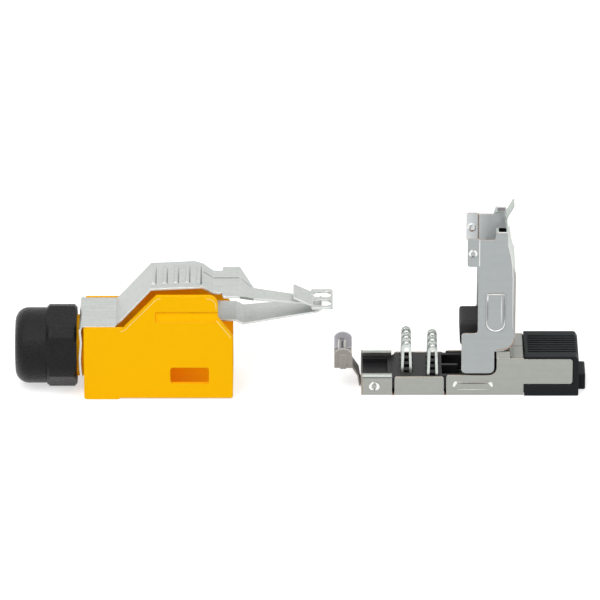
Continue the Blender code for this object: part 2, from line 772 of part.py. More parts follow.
def make_base_shell():
    rear = PLUG_REAR_X
    inner = SHELL_HALF - SHELL_SHEET
    top = SHELL_COLLAR_TOP + EPS
    outline = rounded(shifted(shell_walls(), rear), 4)
    shell = plate("base_shell", outline, (-SHELL_HALF, SHELL_HALF))
    section = rounded([
        (-SHELL_HALF, 0.0, 0.5 * MM), (SHELL_HALF, 0.0, 0.5 * MM),
        (SHELL_HALF, top), (-SHELL_HALF, top),
    ])
    reach = rear + SHELL_LENGTH + ARM_LENGTH
    shell = keep_inside(shell, plate("section", section, (rear - EPS, reach + EPS), "YZ"))
    panel_back = rear + SHELL_LENGTH - COLLAR_PANEL
    hollow = [
        (rear - EPS, SHELL_SHEET),
        (reach + EPS, SHELL_SHEET),
        (reach + EPS, top),
        (rear + SHELL_LENGTH - SHELL_SHEET / 3, top),
        (rear + SHELL_LENGTH - SHELL_SHEET / 3, SHELL_COLLAR_TOP - SHELL_SHEET),
        (panel_back, SHELL_COLLAR_TOP - SHELL_SHEET),
        (panel_back, top),
        (rear + SHELL_REAR_LENGTH + SHELL_SLIT / 2, top),
        (rear + SHELL_REAR_LENGTH + SHELL_SLIT / 2, SHELL_REAR_TOP - SHELL_SHEET),
        (rear - EPS, SHELL_REAR_TOP - SHELL_SHEET),
    ]
    shell = cut(shell, plate("hollow", hollow, (-inner, inner)))
    flange = 0.7 * MM
    shell = cut(
        shell,
        box(
            "flange opening",
            (rear - EPS, rear + SHELL_REAR_LENGTH + SHELL_SLIT / 2),
            (-inner + flange, inner - flange),
            (SHELL_REAR_TOP - 2 * SHELL_SHEET, top),
        ),
        box(
            "collar seam",
            (panel_back - EPS, rear + SHELL_LENGTH + EPS),
            (-SNUG, SNUG),
            (SHELL_COLLAR_TOP - 2 * SHELL_SHEET, top),
        ),
    )
    pivot = pivot_point()
    for sign in (-1, 1):
        raised = SHELL_HALF + BEAD_RISE
        bead_front = rear + SHELL_LENGTH - BEAD_SETBACK
        bead = rounded([
            (bead_front - BEAD_LENGTH, BEAD_LOW_Z, 0.49 * BEAD_WIDTH),
            (bead_front, BEAD_LOW_Z, 0.49 * BEAD_WIDTH),
            (bead_front, BEAD_LOW_Z + BEAD_WIDTH, 0.49 * BEAD_WIDTH),
            (bead_front - BEAD_LENGTH, BEAD_LOW_Z + BEAD_WIDTH, 0.49 * BEAD_WIDTH),
        ])
        catch = catch_point()
        wall_middle = SHELL_HALF - SHELL_SHEET / 2
        shell = join(
            shell,
            plate("side bead", bead, side_span(sign, wall_middle, raised)),
            rod("catch", (catch[0], sign * (wall_middle + raised) / 2, catch[1]), CATCH_RADIUS,
                raised - wall_middle, "Y", 20),
        )
        knuckle_span = side_span(sign, LEAF_HALF + RUN, well_half())
        radius = knuckle_radius()
        knuckle = rod(
            "knuckle", (pivot[0], sum(knuckle_span) / 2, pivot[1]), radius,
            knuckle_span[1] - knuckle_span[0], "Y", 20,
        )
        web = box(
            "knuckle web",
            (pivot[0] + PIN_RADIUS + 0.1 * MM, max(pivot[0] + radius, panel_back + SHELL_SHEET)),
            (knuckle_span[0] + 0.02 * MM, knuckle_span[1] - 0.02 * MM),
            (SHELL_COLLAR_TOP - SHELL_SHEET / 2, pivot[1] - 0.1 * MM),
        )
        shell = join(shell, join(knuckle, web))
        bore = rod("pin bore", (pivot[0], sum(knuckle_span) / 2, pivot[1]),
                   PIN_RADIUS + KNUCKLE_CLEARANCE, 4 * MM, "Y", 20)
        shell = cut(shell, bore)
    return shell


def pivot_point():
    return PLUG_REAR_X + SHELL_LENGTH - PIVOT_SETBACK, PIVOT_Z


def lid_height():
    return SHELL_LENGTH - PIVOT_SETBACK - LID_SETBACK


def knuckle_radius():
    return PIN_RADIUS + KNUCKLE_WALL


def catch_point():
    """Middle of the round catch on the shell's rear wall."""
    return PLUG_REAR_X + CATCH_X, CATCH_Z


def make_hinge_pin():
    pivot = pivot_point()
    return rod("hinge_pin", (pivot[0], 0.0, pivot[1]), PIN_RADIUS, 2 * well_half() + RUN, "Y", 20)


def make_cable_clamp():
    rear = PLUG_REAR_X
    middle = CLAMP_HALF - SHELL_SHEET / 2
    start = rear - CLAMP_OVERHANG
    end = start + CLAMP_WIDTH

    def cradle(rise, top):
        side = middle + rise
        floor = CLAMP_LOW_Z + SHELL_SHEET / 2 - rise
        turn = CLAMP_ROUND + rise
        return [
            (-side, top),
            *arc((turn - side, floor + turn), turn, 180, 270, 7),
            *arc((side - turn, floor + turn), turn, 270, 360, 7),
            (side, top),
        ]

    strap = sheet("cable_clamp", cradle(0.0, CLAMP_TOP_Z + EPS), (start, end), SHELL_SHEET, "YZ")
    arch = 0.575 * CLAMP_WIDTH
    crown = arc(((start + end) / 2, CLAMP_TOP_Z - arch), arch, 15, 165, 12)
    ears = plate("ears", [
        (start - EPS, CLAMP_LOW_Z - EPS),
        (end + EPS, CLAMP_LOW_Z - EPS),
        (end + EPS, crown[0][1]),
        *crown,
        (start - EPS, crown[-1][1]),
    ], (-2 * middle, 2 * middle))
    strap = keep_inside(strap, ears)
    bead_path = cradle(0.2 * MM, CLAMP_TOP_Z - 1.2 * MM)
    bead = sheet("clamp bead", bead_path, (start + 1.1 * MM, end - 1.1 * MM), SHELL_SHEET, "YZ")
    neck_z = CLAMP_LOW_Z + SHELL_SHEET / 2
    tongue_z = SHELL_SHEET + 0.3 * MM
    neck_path = [
        (start + 1.6 * MM, neck_z + 0.02 * MM),
        (end, neck_z),
        (rear - 0.6 * MM, 2.6 * MM),
        (rear - 0.3 * MM, tongue_z),
        (rear + 4.3 * MM, tongue_z),
    ]
    neck = sheet("clamp neck", neck_path, (-CLAMP_NECK_HALF, CLAMP_NECK_HALF), SHELL_SHEET)
    return join(strap, bead, neck)


def carrier_span():
    rear = PLUG_REAR_X + 0.3 * MM
    return rear, PLUG_REAR_X + SHELL_LENGTH - NOSE_TAIL - 0.4 * MM


def well_start():
    return pivot_point()[0] - PAD_REACH - 0.3 * MM


def cutter_places():
    """Middle of each cutting contact, in two staggered rows of four."""
    places = []
    for row in (0, 1):
        x = PLUG_REAR_X + CUTTER_ROW_X + row * CUTTER_ROW_STEP
        shift = CUTTER_STAGGER * (0.5 - row)
        places += [(x, (k - 1.5) * cutter_pitch() + shift) for k in range(4)]
    return places


def carrier_low_z():
    return SHELL_SHEET + BOARD_THICKNESS + 0.4 * MM


def make_carrier():
    rear, front = carrier_span()
    half = carrier_half()
    low = carrier_low_z()
    ramp = PLUG_REAR_X + SHELL_REAR_LENGTH - 0.4 * MM
    outline = [
        (rear, low),
        (front, low),
        (front, CARRIER_TOP_Z),
        (ramp + 1.3 * MM, CARRIER_TOP_Z),
        (ramp, CARRIER_REAR_TOP_Z),
        (rear, CARRIER_REAR_TOP_Z),
    ]
    body = plate("carrier", outline, (-half, half))
    trough_z = CARRIER_REAR_TOP_Z - 1.0 * MM
    body = cut(
        body,
        box("trough", (rear - EPS, ramp - 0.4 * MM), (-half + EPS, half - EPS), (trough_z, low + 9 * MM)),
    )
    start = well_start()
    for sign in (-1, 1):
        pocket = box(
            "pocket", (start - 3.1 * MM, start + EPS), side_span(sign, 0.35 * MM, well_half()),
            (low + 0.9 * MM, CARRIER_TOP_Z + EPS),
        )
        body = cut(body, pocket)
    well = box("deep well", (start, front + EPS), (-well_half(), well_half()), (0.0, 9 * MM))
    body = cut(body, well)
    for x, y in cutter_places():
        body = cut(body, box(
            "contact well",
            (x - CUTTER_SPAN / 2 - SNUG, x + CUTTER_SPAN / 2 + SNUG),
            (y - CUTTER_WIDTH / 2 - SNUG, y + CUTTER_WIDTH / 2 + SNUG),
            (0.0, 9 * MM),
        ))
    return body


def make_circuit_board():
    front = carrier_span()[1] - 0.1 * MM
    start = PLUG_REAR_X + SHELL_REAR_LENGTH - 0.6 * MM
    half = carrier_half()
    low = SHELL_SHEET + 0.1 * MM
    span = (low, low + BOARD_THICKNESS)
    board = box("circuit_board", (start, front), (-half, half), span)
    window = box("window", (well_start(), front + EPS), (-well_half(), well_half()), (0.0, 2 * MM))
    return cut(board, window)


def make_cutter(number, x, y):
    """One insulation-cutting contact: a ribbon bent into an arch, slit from its crown down."""
    foot = SHELL_SHEET + BOARD_THICKNESS + 0.3 * MM
    side = CUTTER_SPAN / 2
    inner = side - CUTTER_SHEET
    crown = (x, CUTTER_TOP_Z - CUTTER_CROWN)
    outline = [
        (x + side, foot),
        (x + side, CARRIER_TOP_Z),
        *arc(crown, CUTTER_CROWN, 0, 180, 12),
        (x - side, CARRIER_TOP_Z),
        (x - side, foot),
        (x - inner, foot),
        (x - inner, CARRIER_TOP_Z),
        *arc(crown, CUTTER_CROWN - CUTTER_SHEET, 180, 0, 8),
        (x + inner, CARRIER_TOP_Z),
        (x + inner, foot),
    ]
    name = f"idc_contact_{number}"
    arch = plate(name, outline, (y - CUTTER_WIDTH / 2, y + CUTTER_WIDTH / 2))
    slit = box(
        "wire slit",
        (x - CUTTER_SPAN, x + CUTTER_SPAN),
        (y - CUTTER_SLOT / 2, y + CUTTER_SLOT / 2),
        (CARRIER_TOP_Z + 2.4 * MM, CUTTER_TOP_Z + EPS),
    )
    return cut(arch, slit)


def pole_offsets():
    return [(index - (POLES - 1) / 2) * POLE_PITCH for index in range(POLES)]


def make_nose():
    collar_front = PLUG_REAR_X + SHELL_LENGTH
    start = collar_front + SNUG
    end = collar_front + NOSE_LENGTH
    nose_half = SHELL_HALF + NOSE_PROUD
    body = plate("nose", rounded([
        (start, 0.0),
        (end, 0.0, 0.3 * MM),
        (end, NOSE_TOP_Z - 0.9 * MM, 0.3 * MM),
        (end - 0.5 * MM, NOSE_TOP_Z, 0.5 * MM),
        (start, NOSE_TOP_Z, 0.2 * MM),
    ]), (-nose_half, nose_half))
    tail_half = carrier_half()
    tail = box(
        "tail", (collar_front - NOSE_TAIL, start + EPS), (-tail_half, tail_half),
        (SHELL_SHEET + SNUG, SHELL_COLLAR_TOP - SHELL_SHEET - SNUG),
    )
    key = box("key", (end - EPS, end + KEY_LENGTH), (-KEY_HALF, KEY_HALF), (0.02 * MM, KEY_TOP_Z))
    body = join(body, tail, edge_break(key, 0.2 * MM, 1))
    for sign in (-1, 1):
        recess = box(
            "arm recess",
            (start - EPS, collar_front + ARM_LENGTH + SNUG),
            side_span(sign, tail_half, nose_half + EPS),
            (ARM_LOW_Z - SNUG, ARM_HIGH_Z + SNUG),
        )
        body = cut(body, recess)
    slot_x = (end - POLE_SLOT_LENGTH, end + EPS)
    for y in pole_offsets():
        slot = box(
            "pole slot", slot_x, (y - POLE_SLOT / 2, y + POLE_SLOT / 2),
            (NOSE_TOP_Z - POLE_SLOT_DEPTH, NOSE_TOP_Z + EPS),
        )
        body = cut(body, slot)
    return body


def make_blade(number, y):
    end = PLUG_REAR_X + SHELL_LENGTH + NOSE_LENGTH
    low = NOSE_TOP_Z - POLE_SLOT_DEPTH + SNUG
    outline = rounded([
        (end - POLE_SLOT_LENGTH + SNUG, low),
        (end - 0.8 * MM, low, 0.2 * MM),
        (end - 0.8 * MM, low + BLADE_HEIGHT, 0.4 * MM),
        (end - POLE_SLOT_LENGTH + SNUG, low + BLADE_HEIGHT, 0.2 * MM),
    ], 3)
    return plate(f"blade_{number}", outline, (y - BLADE_THICKNESS / 2, y + BLADE_THICKNESS / 2))


def lid_back(inset):
    """The lid's back line from its pivot end up: straight, a slope, then straight again."""
    pivot_x, pivot_z = pivot_point()
    x = pivot_x + LID_BACK - inset
    slope = 1.6 * MM
    return [
        (x, pivot_z + lid_height() - 7.7 * MM - inset / 6),
        (x - slope, pivot_z + lid_height() - 1.3 * MM - inset / 6),
    ]


def make_lid_shell():
    pivot_x, pivot_z = pivot_point()
    top = pivot_z + lid_height()
    left = pivot_x - LID_FRONT
    lobe = pivot_x - LOBE_REACH
    bend = 3.2 * MM
    bend_middle = (pivot_x + LID_BACK - bend, pivot_z + bend)
    knee, shoulder = lid_back(0.0)
    outline = rounded([
        (lobe, pivot_z - LOBE_DROP, 0.9 * MM),
        (pivot_x - LOBE_BACK, pivot_z - LOBE_DROP, 1.0 * MM),
        (pivot_x - LOBE_BACK, pivot_z),
        *arc(bend_middle, bend, 270, 360, 6),
        knee,
        shoulder,
        (shoulder[0], top + FOLD_RISE, 0.5 * MM),
        (shoulder[0] - 2.1 * MM, top + FOLD_RISE, 0.3 * MM),
        (shoulder[0] - 2.5 * MM, top - 0.2 * MM, 0.2 * MM),
        (left + 0.3 * MM, top - 0.2 * MM),
        (left, top),
        (left - 2.1 * MM, top, 0.5 * MM),
        (left - 2.1 * MM, top - 5.8 * MM, 0.5 * MM),
        (left, top - 5.8 * MM, 0.3 * MM),
        (left, pivot_z + LOBE_RISE, 0.6 * MM),
        (lobe, pivot_z + LOBE_RISE, 0.6 * MM),
    ], 4)
    lid = plate("lid_shell", outline, (-lid_half(), lid_half()))
    inner = lid_half() - SHELL_SHEET
    knee, shoulder = lid_back(SHELL_SHEET)
    hollow = [
        (lobe - EPS, pivot_z - 2 * LOBE_DROP),
        (knee[0], pivot_z - 2 * LOBE_DROP),
        knee,
        shoulder,
        (shoulder[0], top - 0.7 * MM),
        (shoulder[0] + EPS, top - 0.7 * MM),
        (shoulder[0] + EPS, top + 2 * EPS),
        (lobe - EPS, top + 2 * EPS),
    ]
    lid = cut(lid, plate("hollow", hollow, (-inner, inner)))
    back_x = pivot_x + LID_BACK
    opening = box(
        "hinge opening", (pivot_x, back_x + EPS), (-well_half() - RUN, well_half() + RUN),
        (pivot_z - EPS, pivot_z + 0.9 * MM + bend / 6),
    )
    lid = cut(lid, opening)
    leaf_x = shoulder[0] + SHELL_SHEET / 2
    leaf = sheet(
        "bent leaf",
        [
            (leaf_x, top - 1.1 * MM),
            (leaf_x, top + LID_LEAF_RISE / 2),
            (leaf_x + 1.35 * MM, top + LID_LEAF_RISE),
        ],
        (-LID_LEAF_HALF, LID_LEAF_HALF),
        SHELL_SHEET - 0.04 * MM,
    )
    lid = join(lid, leaf)
    for sign in (-1, 1):
        fold = box(
            "folded tab", (shoulder[0] - 1.9 * MM, shoulder[0] - 0.2 * MM),
            side_span(sign, lid_half() - FOLD_DEPTH, lid_half() - SHELL_SHEET / 2),
            (top + FOLD_RISE - SHELL_SHEET, top + FOLD_RISE - 0.02 * MM),
        )
        lid = join(lid, fold)
        raised = side_span(sign, lid_half() - SHELL_SHEET / 2, lid_half() + BEAD_RISE)
        bead = plate("side bead", rounded([
            (left + 1.5 * MM, pivot_z + 4.2 * MM, 1.85 * MM),
            (left + 5.3 * MM, pivot_z + 4.2 * MM, 1.85 * MM),
            (left + 5.3 * MM, pivot_z + 12.1 * MM, 0.4 * MM),
            (left + 1.5 * MM, pivot_z + 12.1 * MM, 0.4 * MM),
        ], 5), raised)
        button = rod(
            "tab button", (left - 1.05 * MM, sum(raised) / 2, top - 3.0 * MM), 0.75 * MM,
            raised[1] - raised[0], "Y", 20,
        )
        lid = join(lid, bead, button)
    knuckle = rod("lid knuckle", (pivot_x, 0.0, pivot_z), knuckle_radius(), 2 * LEAF_HALF, "Y", 20)
    web = sheet(
        "lid web",
        [
            (pivot_x + knuckle_radius() - SHELL_SHEET / 2, pivot_z),
            (back_x - SHELL_SHEET / 2 - 0.02 * MM, pivot_z + 1.2 * MM),
            (back_x - SHELL_SHEET / 2 - 0.02 * MM, pivot_z + 2.4 * MM),
        ],
        (-LEAF_HALF + 0.02 * MM, LEAF_HALF - 0.02 * MM),
        SHELL_SHEET - 0.04 * MM,
    )
    lid = join(lid, join(knuckle, web))
    bore = rod("pin bore", (pivot_x, 0.0, pivot_z), PIN_RADIUS + KNUCKLE_CLEARANCE, 5 * MM, "Y", 20)
    return cut(lid, bore)


def block_span():
    low = PIVOT_Z + BLOCK_LOW
    return low, PIVOT_Z + lid_height() - BLOCK_DROP


def make_lid_block():
    pivot_x = pivot_point()[0]
    low, high = block_span()
    half = lid_half() - SHELL_SHEET - RUN
    left = pivot_x - LID_FRONT + 1.0 * MM
    knee, shoulder = lid_back(SHELL_SHEET + SNUG)
    slope = (knee[0] - shoulder[0]) / (shoulder[1] - knee[1])
    body = plate("lid_block", [
        (left, low),
        (knee[0], low),
        knee,
        (knee[0] - slope * (high - knee[1]), high),
        (left, high),
    ], (-half, half))
    body = edge_break(body, 0.2 * MM, 1)
    pocket_low = low + BLOCK_FOOT
    pocket_half = 1.5 * cutter_pitch() + CUTTER_STAGGER / 2 + CUTTER_WIDTH / 2 + 1.5 * SNUG
    pocket = box(
        "contact pocket", (left - EPS, knee[0] + EPS), (-pocket_half, pocket_half),
        (pocket_low, high + EPS),
    )
    return cut(body, pocket)


def make_lid_end():
    low = block_span()[1] + SNUG
    high = low + END_HEIGHT
    pivot_x = pivot_point()[0]
    left = pivot_x - END_REACH
    knee, shoulder = lid_back(SHELL_SHEET + SNUG)
    slope = (knee[0] - shoulder[0]) / (shoulder[1] - knee[1])
    right = knee[0] - slope * (high - knee[1])
    half = lid_half() - SHELL_SHEET - RUN
    bar = plate("lid_end", rounded([
        (left, low, 0.2 * MM), (right, low), (right, high), (left, high, 0.3 * MM),
    ]), (-half, half))
    notch = [
        (left - EPS, -END_NOTCH),
        *arc((left + 0.5 * MM, 0.0), END_NOTCH, -90, 90, 16),
        (left - EPS, END_NOTCH),
    ]
    return cut(bar, plate("cable notch", notch, (low - EPS, high + EPS), "XY"))


def make_lid_pad():
    pivot_x, pivot_z = pivot_point()
    low = pivot_z + PAD_LOW
    left = pivot_x - PAD_REACH
    right = pivot_x + LID_BACK - SHELL_SHEET - RUN - 0.1 * MM
    clear = knuckle_radius() + RUN
    half = well_half() - PAD_CLEARANCE
    pad = plate("lid_pad", rounded([
        (left, low, PAD_ROUND),
        (pivot_x - clear, low, 0.2 * MM),
        (pivot_x - clear, pivot_z + clear),
        (right, pivot_z + clear, 0.2 * MM),
        (right, low + PAD_HEIGHT, 0.5 * MM),
        (left, low + PAD_HEIGHT, PAD_ROUND),
    ], 5), (-half, half))
    section = rounded([
        (-half, low - EPS),
        (half, low - EPS),
        (half, low + PAD_HEIGHT, PAD_ROUND),
        (-half, low + PAD_HEIGHT, PAD_ROUND),
    ], 5)
    return keep_inside(pad, plate("pad section", section, (left - EPS, right + EPS), "YZ"))


clear_scene()
PLUG_PARTS = bpy.data.collections.new("plug_parts")
bpy.context.scene.collection.children.link(PLUG_PARTS)

YELLOW = make_material("yellow_moulding", (0.92, 0.50, 0.01), 0.42, 0.0)
BLACK = make_material("black_plastic", (0.018, 0.018, 0.019), 0.5, 0.0)
DARK = make_material("dark_grey_plastic", (0.035, 0.035, 0.037), 0.45, 0.0)
RUBBER = make_material("black_rubber", (0.02, 0.02, 0.02), 0.8, 0.0)
SPRING = make_material("spring_steel", (0.66, 0.66, 0.67), 0.38, 1.0)
NICKEL = make_material("nickel_sheet", (0.52, 0.50, 0.46), 0.34, 1.0)
CONTACT = make_material("tinned_contact", (0.80, 0.80, 0.80), 0.25, 1.0)
GOLD = make_material("gold_contact", (0.83, 0.62, 0.25), 0.3, 1.0)
BOARD = make_material("circuit_board", (0.03, 0.10, 0.05), 0.6, 0.0)
CAP = make_material("grey_cap", (0.06, 0.06, 0.062), 0.5, 0.0)

finish(make_housing(), "housing", YELLOW)
finish(make_gland_seal(), "gland_seal", RUBBER)
finish(make_slip_ring(), "gland_slip_ring", DARK)
finish(make_gland_nut(), "gland_nut", BLACK)
finish(make_latch_lever(), "latch_lever", SPRING)
finish(make_latch_leaf(), "latch_leaf", SPRING)
finish(make_base_shell(), "base_shell", NICKEL)
finish(make_cable_clamp(), "cable_clamp", NICKEL)
finish(make_hinge_pin(), "hinge_pin", NICKEL)
finish(make_carrier(), "carrier", BLACK)
finish(make_circuit_board(), "circuit_board", BOARD)
for number, (x, y) in enumerate(cutter_places(), 1):
    finish(make_cutter(number, x, y), f"idc_contact_{number}", CONTACT)
finish(make_nose(), "nose", DARK)
for number, y in enumerate(pole_offsets(), 1):
    finish(make_blade(number, y), f"blade_{number}", GOLD)
finish(make_lid_shell(), "lid_shell", NICKEL)
finish(make_lid_block(), "lid_block", BLACK)
finish(make_lid_end(), "lid_end", CAP)
finish(make_lid_pad(), "lid_pad", BLACK)
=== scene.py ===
import math

import bpy
import numpy as np
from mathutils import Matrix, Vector


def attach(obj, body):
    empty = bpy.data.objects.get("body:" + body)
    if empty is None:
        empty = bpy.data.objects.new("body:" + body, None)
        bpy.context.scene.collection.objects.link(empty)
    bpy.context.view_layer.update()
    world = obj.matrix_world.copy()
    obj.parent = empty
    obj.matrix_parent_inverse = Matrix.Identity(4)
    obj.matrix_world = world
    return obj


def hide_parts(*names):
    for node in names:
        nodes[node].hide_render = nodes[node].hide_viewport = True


# A field-wired Ethernet plug taken apart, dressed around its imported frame.
# All lengths are in metres; mm turns millimetres into metres.
mm = 0.001
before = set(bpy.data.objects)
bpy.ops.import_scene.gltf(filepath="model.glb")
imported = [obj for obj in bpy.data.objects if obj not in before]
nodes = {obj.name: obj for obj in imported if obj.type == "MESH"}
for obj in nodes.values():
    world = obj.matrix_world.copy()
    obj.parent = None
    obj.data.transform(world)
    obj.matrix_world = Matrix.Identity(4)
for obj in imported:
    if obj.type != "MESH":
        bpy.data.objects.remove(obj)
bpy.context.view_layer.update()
print("frame loaded:", len(nodes), "nodes")


# small helpers for shader trees

def addNode(tree, kind, values=None, **settings):
    made = tree.nodes.new(kind)
    for name, value in settings.items():
        setattr(made, name, value)
    for name, value in (values or {}).items():
        made.inputs[name].default_value = value
    return made


def link(tree, source, target):
    tree.links.new(source, target)


def mathNode(tree, operation, first, second=None, third=None, clamp=False):
    made = addNode(tree, "ShaderNodeMath", operation=operation, use_clamp=clamp)
    for socket, value in zip(made.inputs, (first, second, third)):
        if value is None:
            continue
        if isinstance(value, (int, float)):
            socket.default_value = value
        else:
            link(tree, value, socket)
    return made.outputs[0]


def mixColour(tree, factor, first, second):
    # the mix node keeps its colours in inputs 6 and 7 and output 2, after those of the other kinds
    made = addNode(tree, "ShaderNodeMix", data_type="RGBA")
    for socket, value in ((made.inputs[0], factor), (made.inputs[6], first), (made.inputs[7], second)):
        if isinstance(value, (int, float)):
            socket.default_value = value
        elif isinstance(value, tuple):
            socket.default_value = (*value, 1.0)
        else:
            link(tree, value, socket)
    return made.outputs[2]


def newGroup(name, inputs, outputs):
    group = bpy.data.node_groups.new(name, "ShaderNodeTree")
    for label, kind, value in inputs:
        socket = group.interface.new_socket(name=label, in_out="INPUT", socket_type=kind)
        socket.default_value = value
    for label, kind in outputs:
        group.interface.new_socket(name=label, in_out="OUTPUT", socket_type=kind)
    start = group.nodes.new("NodeGroupInput")
    end = group.nodes.new("NodeGroupOutput")
    return group, start, end


# node groups shared by the finishes

groupPlan = {
    "coarseRatio": 0.12, "bevelSamples": 4, "streakStretch": 0.06, "toneShare": 0.5, "facingLimit": 0.4,
    "fineNoise": {"Detail": 3.0, "Roughness": 0.55}, "coarseNoise": {"Detail": 2.0},
    "streakNoise": {"Detail": 2.0}, "cloudNoise": {"Detail": 4.0, "Roughness": 0.6},
}


def objectPlace(group):
    return addNode(group, "ShaderNodeTexCoord").outputs["Object"]


def splitAxes(group, vector):
    split = addNode(group, "ShaderNodeSeparateXYZ")
    link(group, vector, split.inputs[0])
    return split.outputs


def makeMouldGrain(plan):
    # fine pebbled texture of a spark-eroded mould: two noises, the finer one riding on the coarser
    group, start, end = newGroup(
        "mouldGrain",
        [("Scale", "NodeSocketFloat", 3000.0), ("Coarse", "NodeSocketFloat", 0.4)],
        [("Height", "NodeSocketFloat"), ("Speck", "NodeSocketFloat")],
    )
    place = objectPlace(group)
    fine = addNode(group, "ShaderNodeTexNoise", plan["fineNoise"])
    coarse = addNode(group, "ShaderNodeTexNoise", plan["coarseNoise"])
    link(group, place, fine.inputs["Vector"])
    link(group, place, coarse.inputs["Vector"])
    link(group, start.outputs["Scale"], fine.inputs["Scale"])
    broader = mathNode(group, "MULTIPLY", start.outputs["Scale"], plan["coarseRatio"])
    link(group, broader, coarse.inputs["Scale"])
    broad = mathNode(group, "MULTIPLY", coarse.outputs["Fac"], start.outputs["Coarse"])
    link(group, mathNode(group, "ADD", fine.outputs["Fac"], broad), end.inputs["Height"])
    link(group, fine.outputs["Fac"], end.inputs["Speck"])
    return group


def makeEdgeBright(plan):
    # how far a rounded normal leaves the face's own normal: 0 on flats, 1 along edges, where highlights are
    # painted
    group, start, end = newGroup(
        "edgeBright",
        [("Radius", "NodeSocketFloat", 0.0002), ("Gain", "NodeSocketFloat", 4.0)],
        [("Mask", "NodeSocketFloat"), ("Normal", "NodeSocketVector")],
    )
    bevel = addNode(group, "ShaderNodeBevel", samples=plan["bevelSamples"])
    link(group, start.outputs["Radius"], bevel.inputs["Radius"])
    face = addNode(group, "ShaderNodeNewGeometry")
    dot = addNode(group, "ShaderNodeVectorMath", operation="DOT_PRODUCT")
    link(group, bevel.outputs[0], dot.inputs[0])
    link(group, face.outputs["Normal"], dot.inputs[1])
    away = mathNode(group, "SUBTRACT", 1.0, dot.outputs["Value"])
    link(group, mathNode(group, "MULTIPLY", away, start.outputs["Gain"], clamp=True), end.inputs["Mask"])
    link(group, bevel.outputs[0], end.inputs["Normal"])
    return group


def makeRolledTone(plan):
    # tone of rolled and plated sheet: long faint streaks along X over a cloudy mottle
    group, start, end = newGroup(
        "rolledTone",
        [("Streak", "NodeSocketFloat", 900.0), ("Cloud", "NodeSocketFloat", 260.0)],
        [("Tone", "NodeSocketFloat"), ("Height", "NodeSocketFloat")],
    )
    place = objectPlace(group)
    stretch = addNode(group, "ShaderNodeMapping", {"Scale": (plan["streakStretch"], 1.0, 1.0)})
    link(group, place, stretch.inputs["Vector"])
    streak = addNode(group, "ShaderNodeTexNoise", plan["streakNoise"])
    link(group, stretch.outputs[0], streak.inputs["Vector"])
    link(group, start.outputs["Streak"], streak.inputs["Scale"])
    cloud = addNode(group, "ShaderNodeTexNoise", plan["cloudNoise"])
    link(group, place, cloud.inputs["Vector"])
    link(group, start.outputs["Cloud"], cloud.inputs["Scale"])
    half = mathNode(group, "MULTIPLY", streak.outputs["Fac"], plan["toneShare"])
    tone = mathNode(group, "MULTIPLY_ADD", cloud.outputs["Fac"], plan["toneShare"], half)
    link(group, tone, end.inputs["Tone"])
    link(group, streak.outputs["Fac"], end.inputs["Height"])
    return group


def makeCutEdge(plan):
    # 1 on the sheared edges of side walls that stand across Y: out beyond Inner, and not facing Y
    group, start, end = newGroup(
        "cutEdge",
        [("Inner", "NodeSocketFloat", 0.0055)],
        [("Mask", "NodeSocketFloat")],
    )
    outward = mathNode(group, "ABSOLUTE", splitAxes(group, objectPlace(group))["Y"])
    beyond = mathNode(group, "GREATER_THAN", outward, start.outputs["Inner"])
    face = addNode(group, "ShaderNodeNewGeometry")
    sideways = mathNode(group, "ABSOLUTE", splitAxes(group, face.outputs["True Normal"])["Y"])
    across = mathNode(group, "LESS_THAN", sideways, plan["facingLimit"])
    link(group, mathNode(group, "MULTIPLY", beyond, across), end.inputs["Mask"])
    return group


def makeOuterFace():
    # 1 out beyond Limit on either side of the middle plane, or below Foot, which lies under everything
    # unless it is set
    group, start, end = newGroup(
        "outerFace",
        [("Limit", "NodeSocketFloat", 0.006), ("Foot", "NodeSocketFloat", -1.0)],
        [("Mask", "NodeSocketFloat")],
    )
    axes = splitAxes(group, objectPlace(group))
    beyond = mathNode(group, "GREATER_THAN", mathNode(group, "ABSOLUTE", axes["Y"]), start.outputs["Limit"])
    under = mathNode(group, "LESS_THAN", axes["Z"], start.outputs["Foot"])
    link(group, mathNode(group, "MAXIMUM", beyond, under), end.inputs["Mask"])
    return group


def makeWithin():
    # 1 on the faces inside a moulding, where a painted glow stands in for light through its walls:
    # between the side walls, behind Front along X and over Foot along Z
    group, start, end = newGroup(
        "withinWalls",
        [
            ("Wall", "NodeSocketFloat", 0.007), ("Front", "NodeSocketFloat", 0.0),
            ("Foot", "NodeSocketFloat", 0.0),
        ],
        [("Mask", "NodeSocketFloat")],
    )
    axes = splitAxes(group, objectPlace(group))
    between = mathNode(group, "LESS_THAN", mathNode(group, "ABSOLUTE", axes["Y"]), start.outputs["Wall"])
    behind = mathNode(group, "LESS_THAN", axes["X"], start.outputs["Front"])
    above = mathNode(group, "GREATER_THAN", axes["Z"], start.outputs["Foot"])
    both = mathNode(group, "MULTIPLY", between, behind)
    link(group, mathNode(group, "MULTIPLY", both, above), end.inputs["Mask"])
    return group


groups = {
    "grain": makeMouldGrain(groupPlan),
    "edge": makeEdgeBright(groupPlan),
    "rolled": makeRolledTone(groupPlan),
    "cut": makeCutEdge(groupPlan),
    "outer": makeOuterFace(),
    "within": makeWithin(),
}
print("node groups ready")


def useGroup(tree, key, **values):
    made = addNode(tree, "ShaderNodeGroup", node_tree=groups[key])
    for name, value in values.items():
        made.inputs[name].default_value = value
    return made


def startMaterial(name):
    made = bpy.data.materials.new(name)
    made.use_nodes = True
    return made, made.node_tree, made.node_tree.nodes["Principled BSDF"]


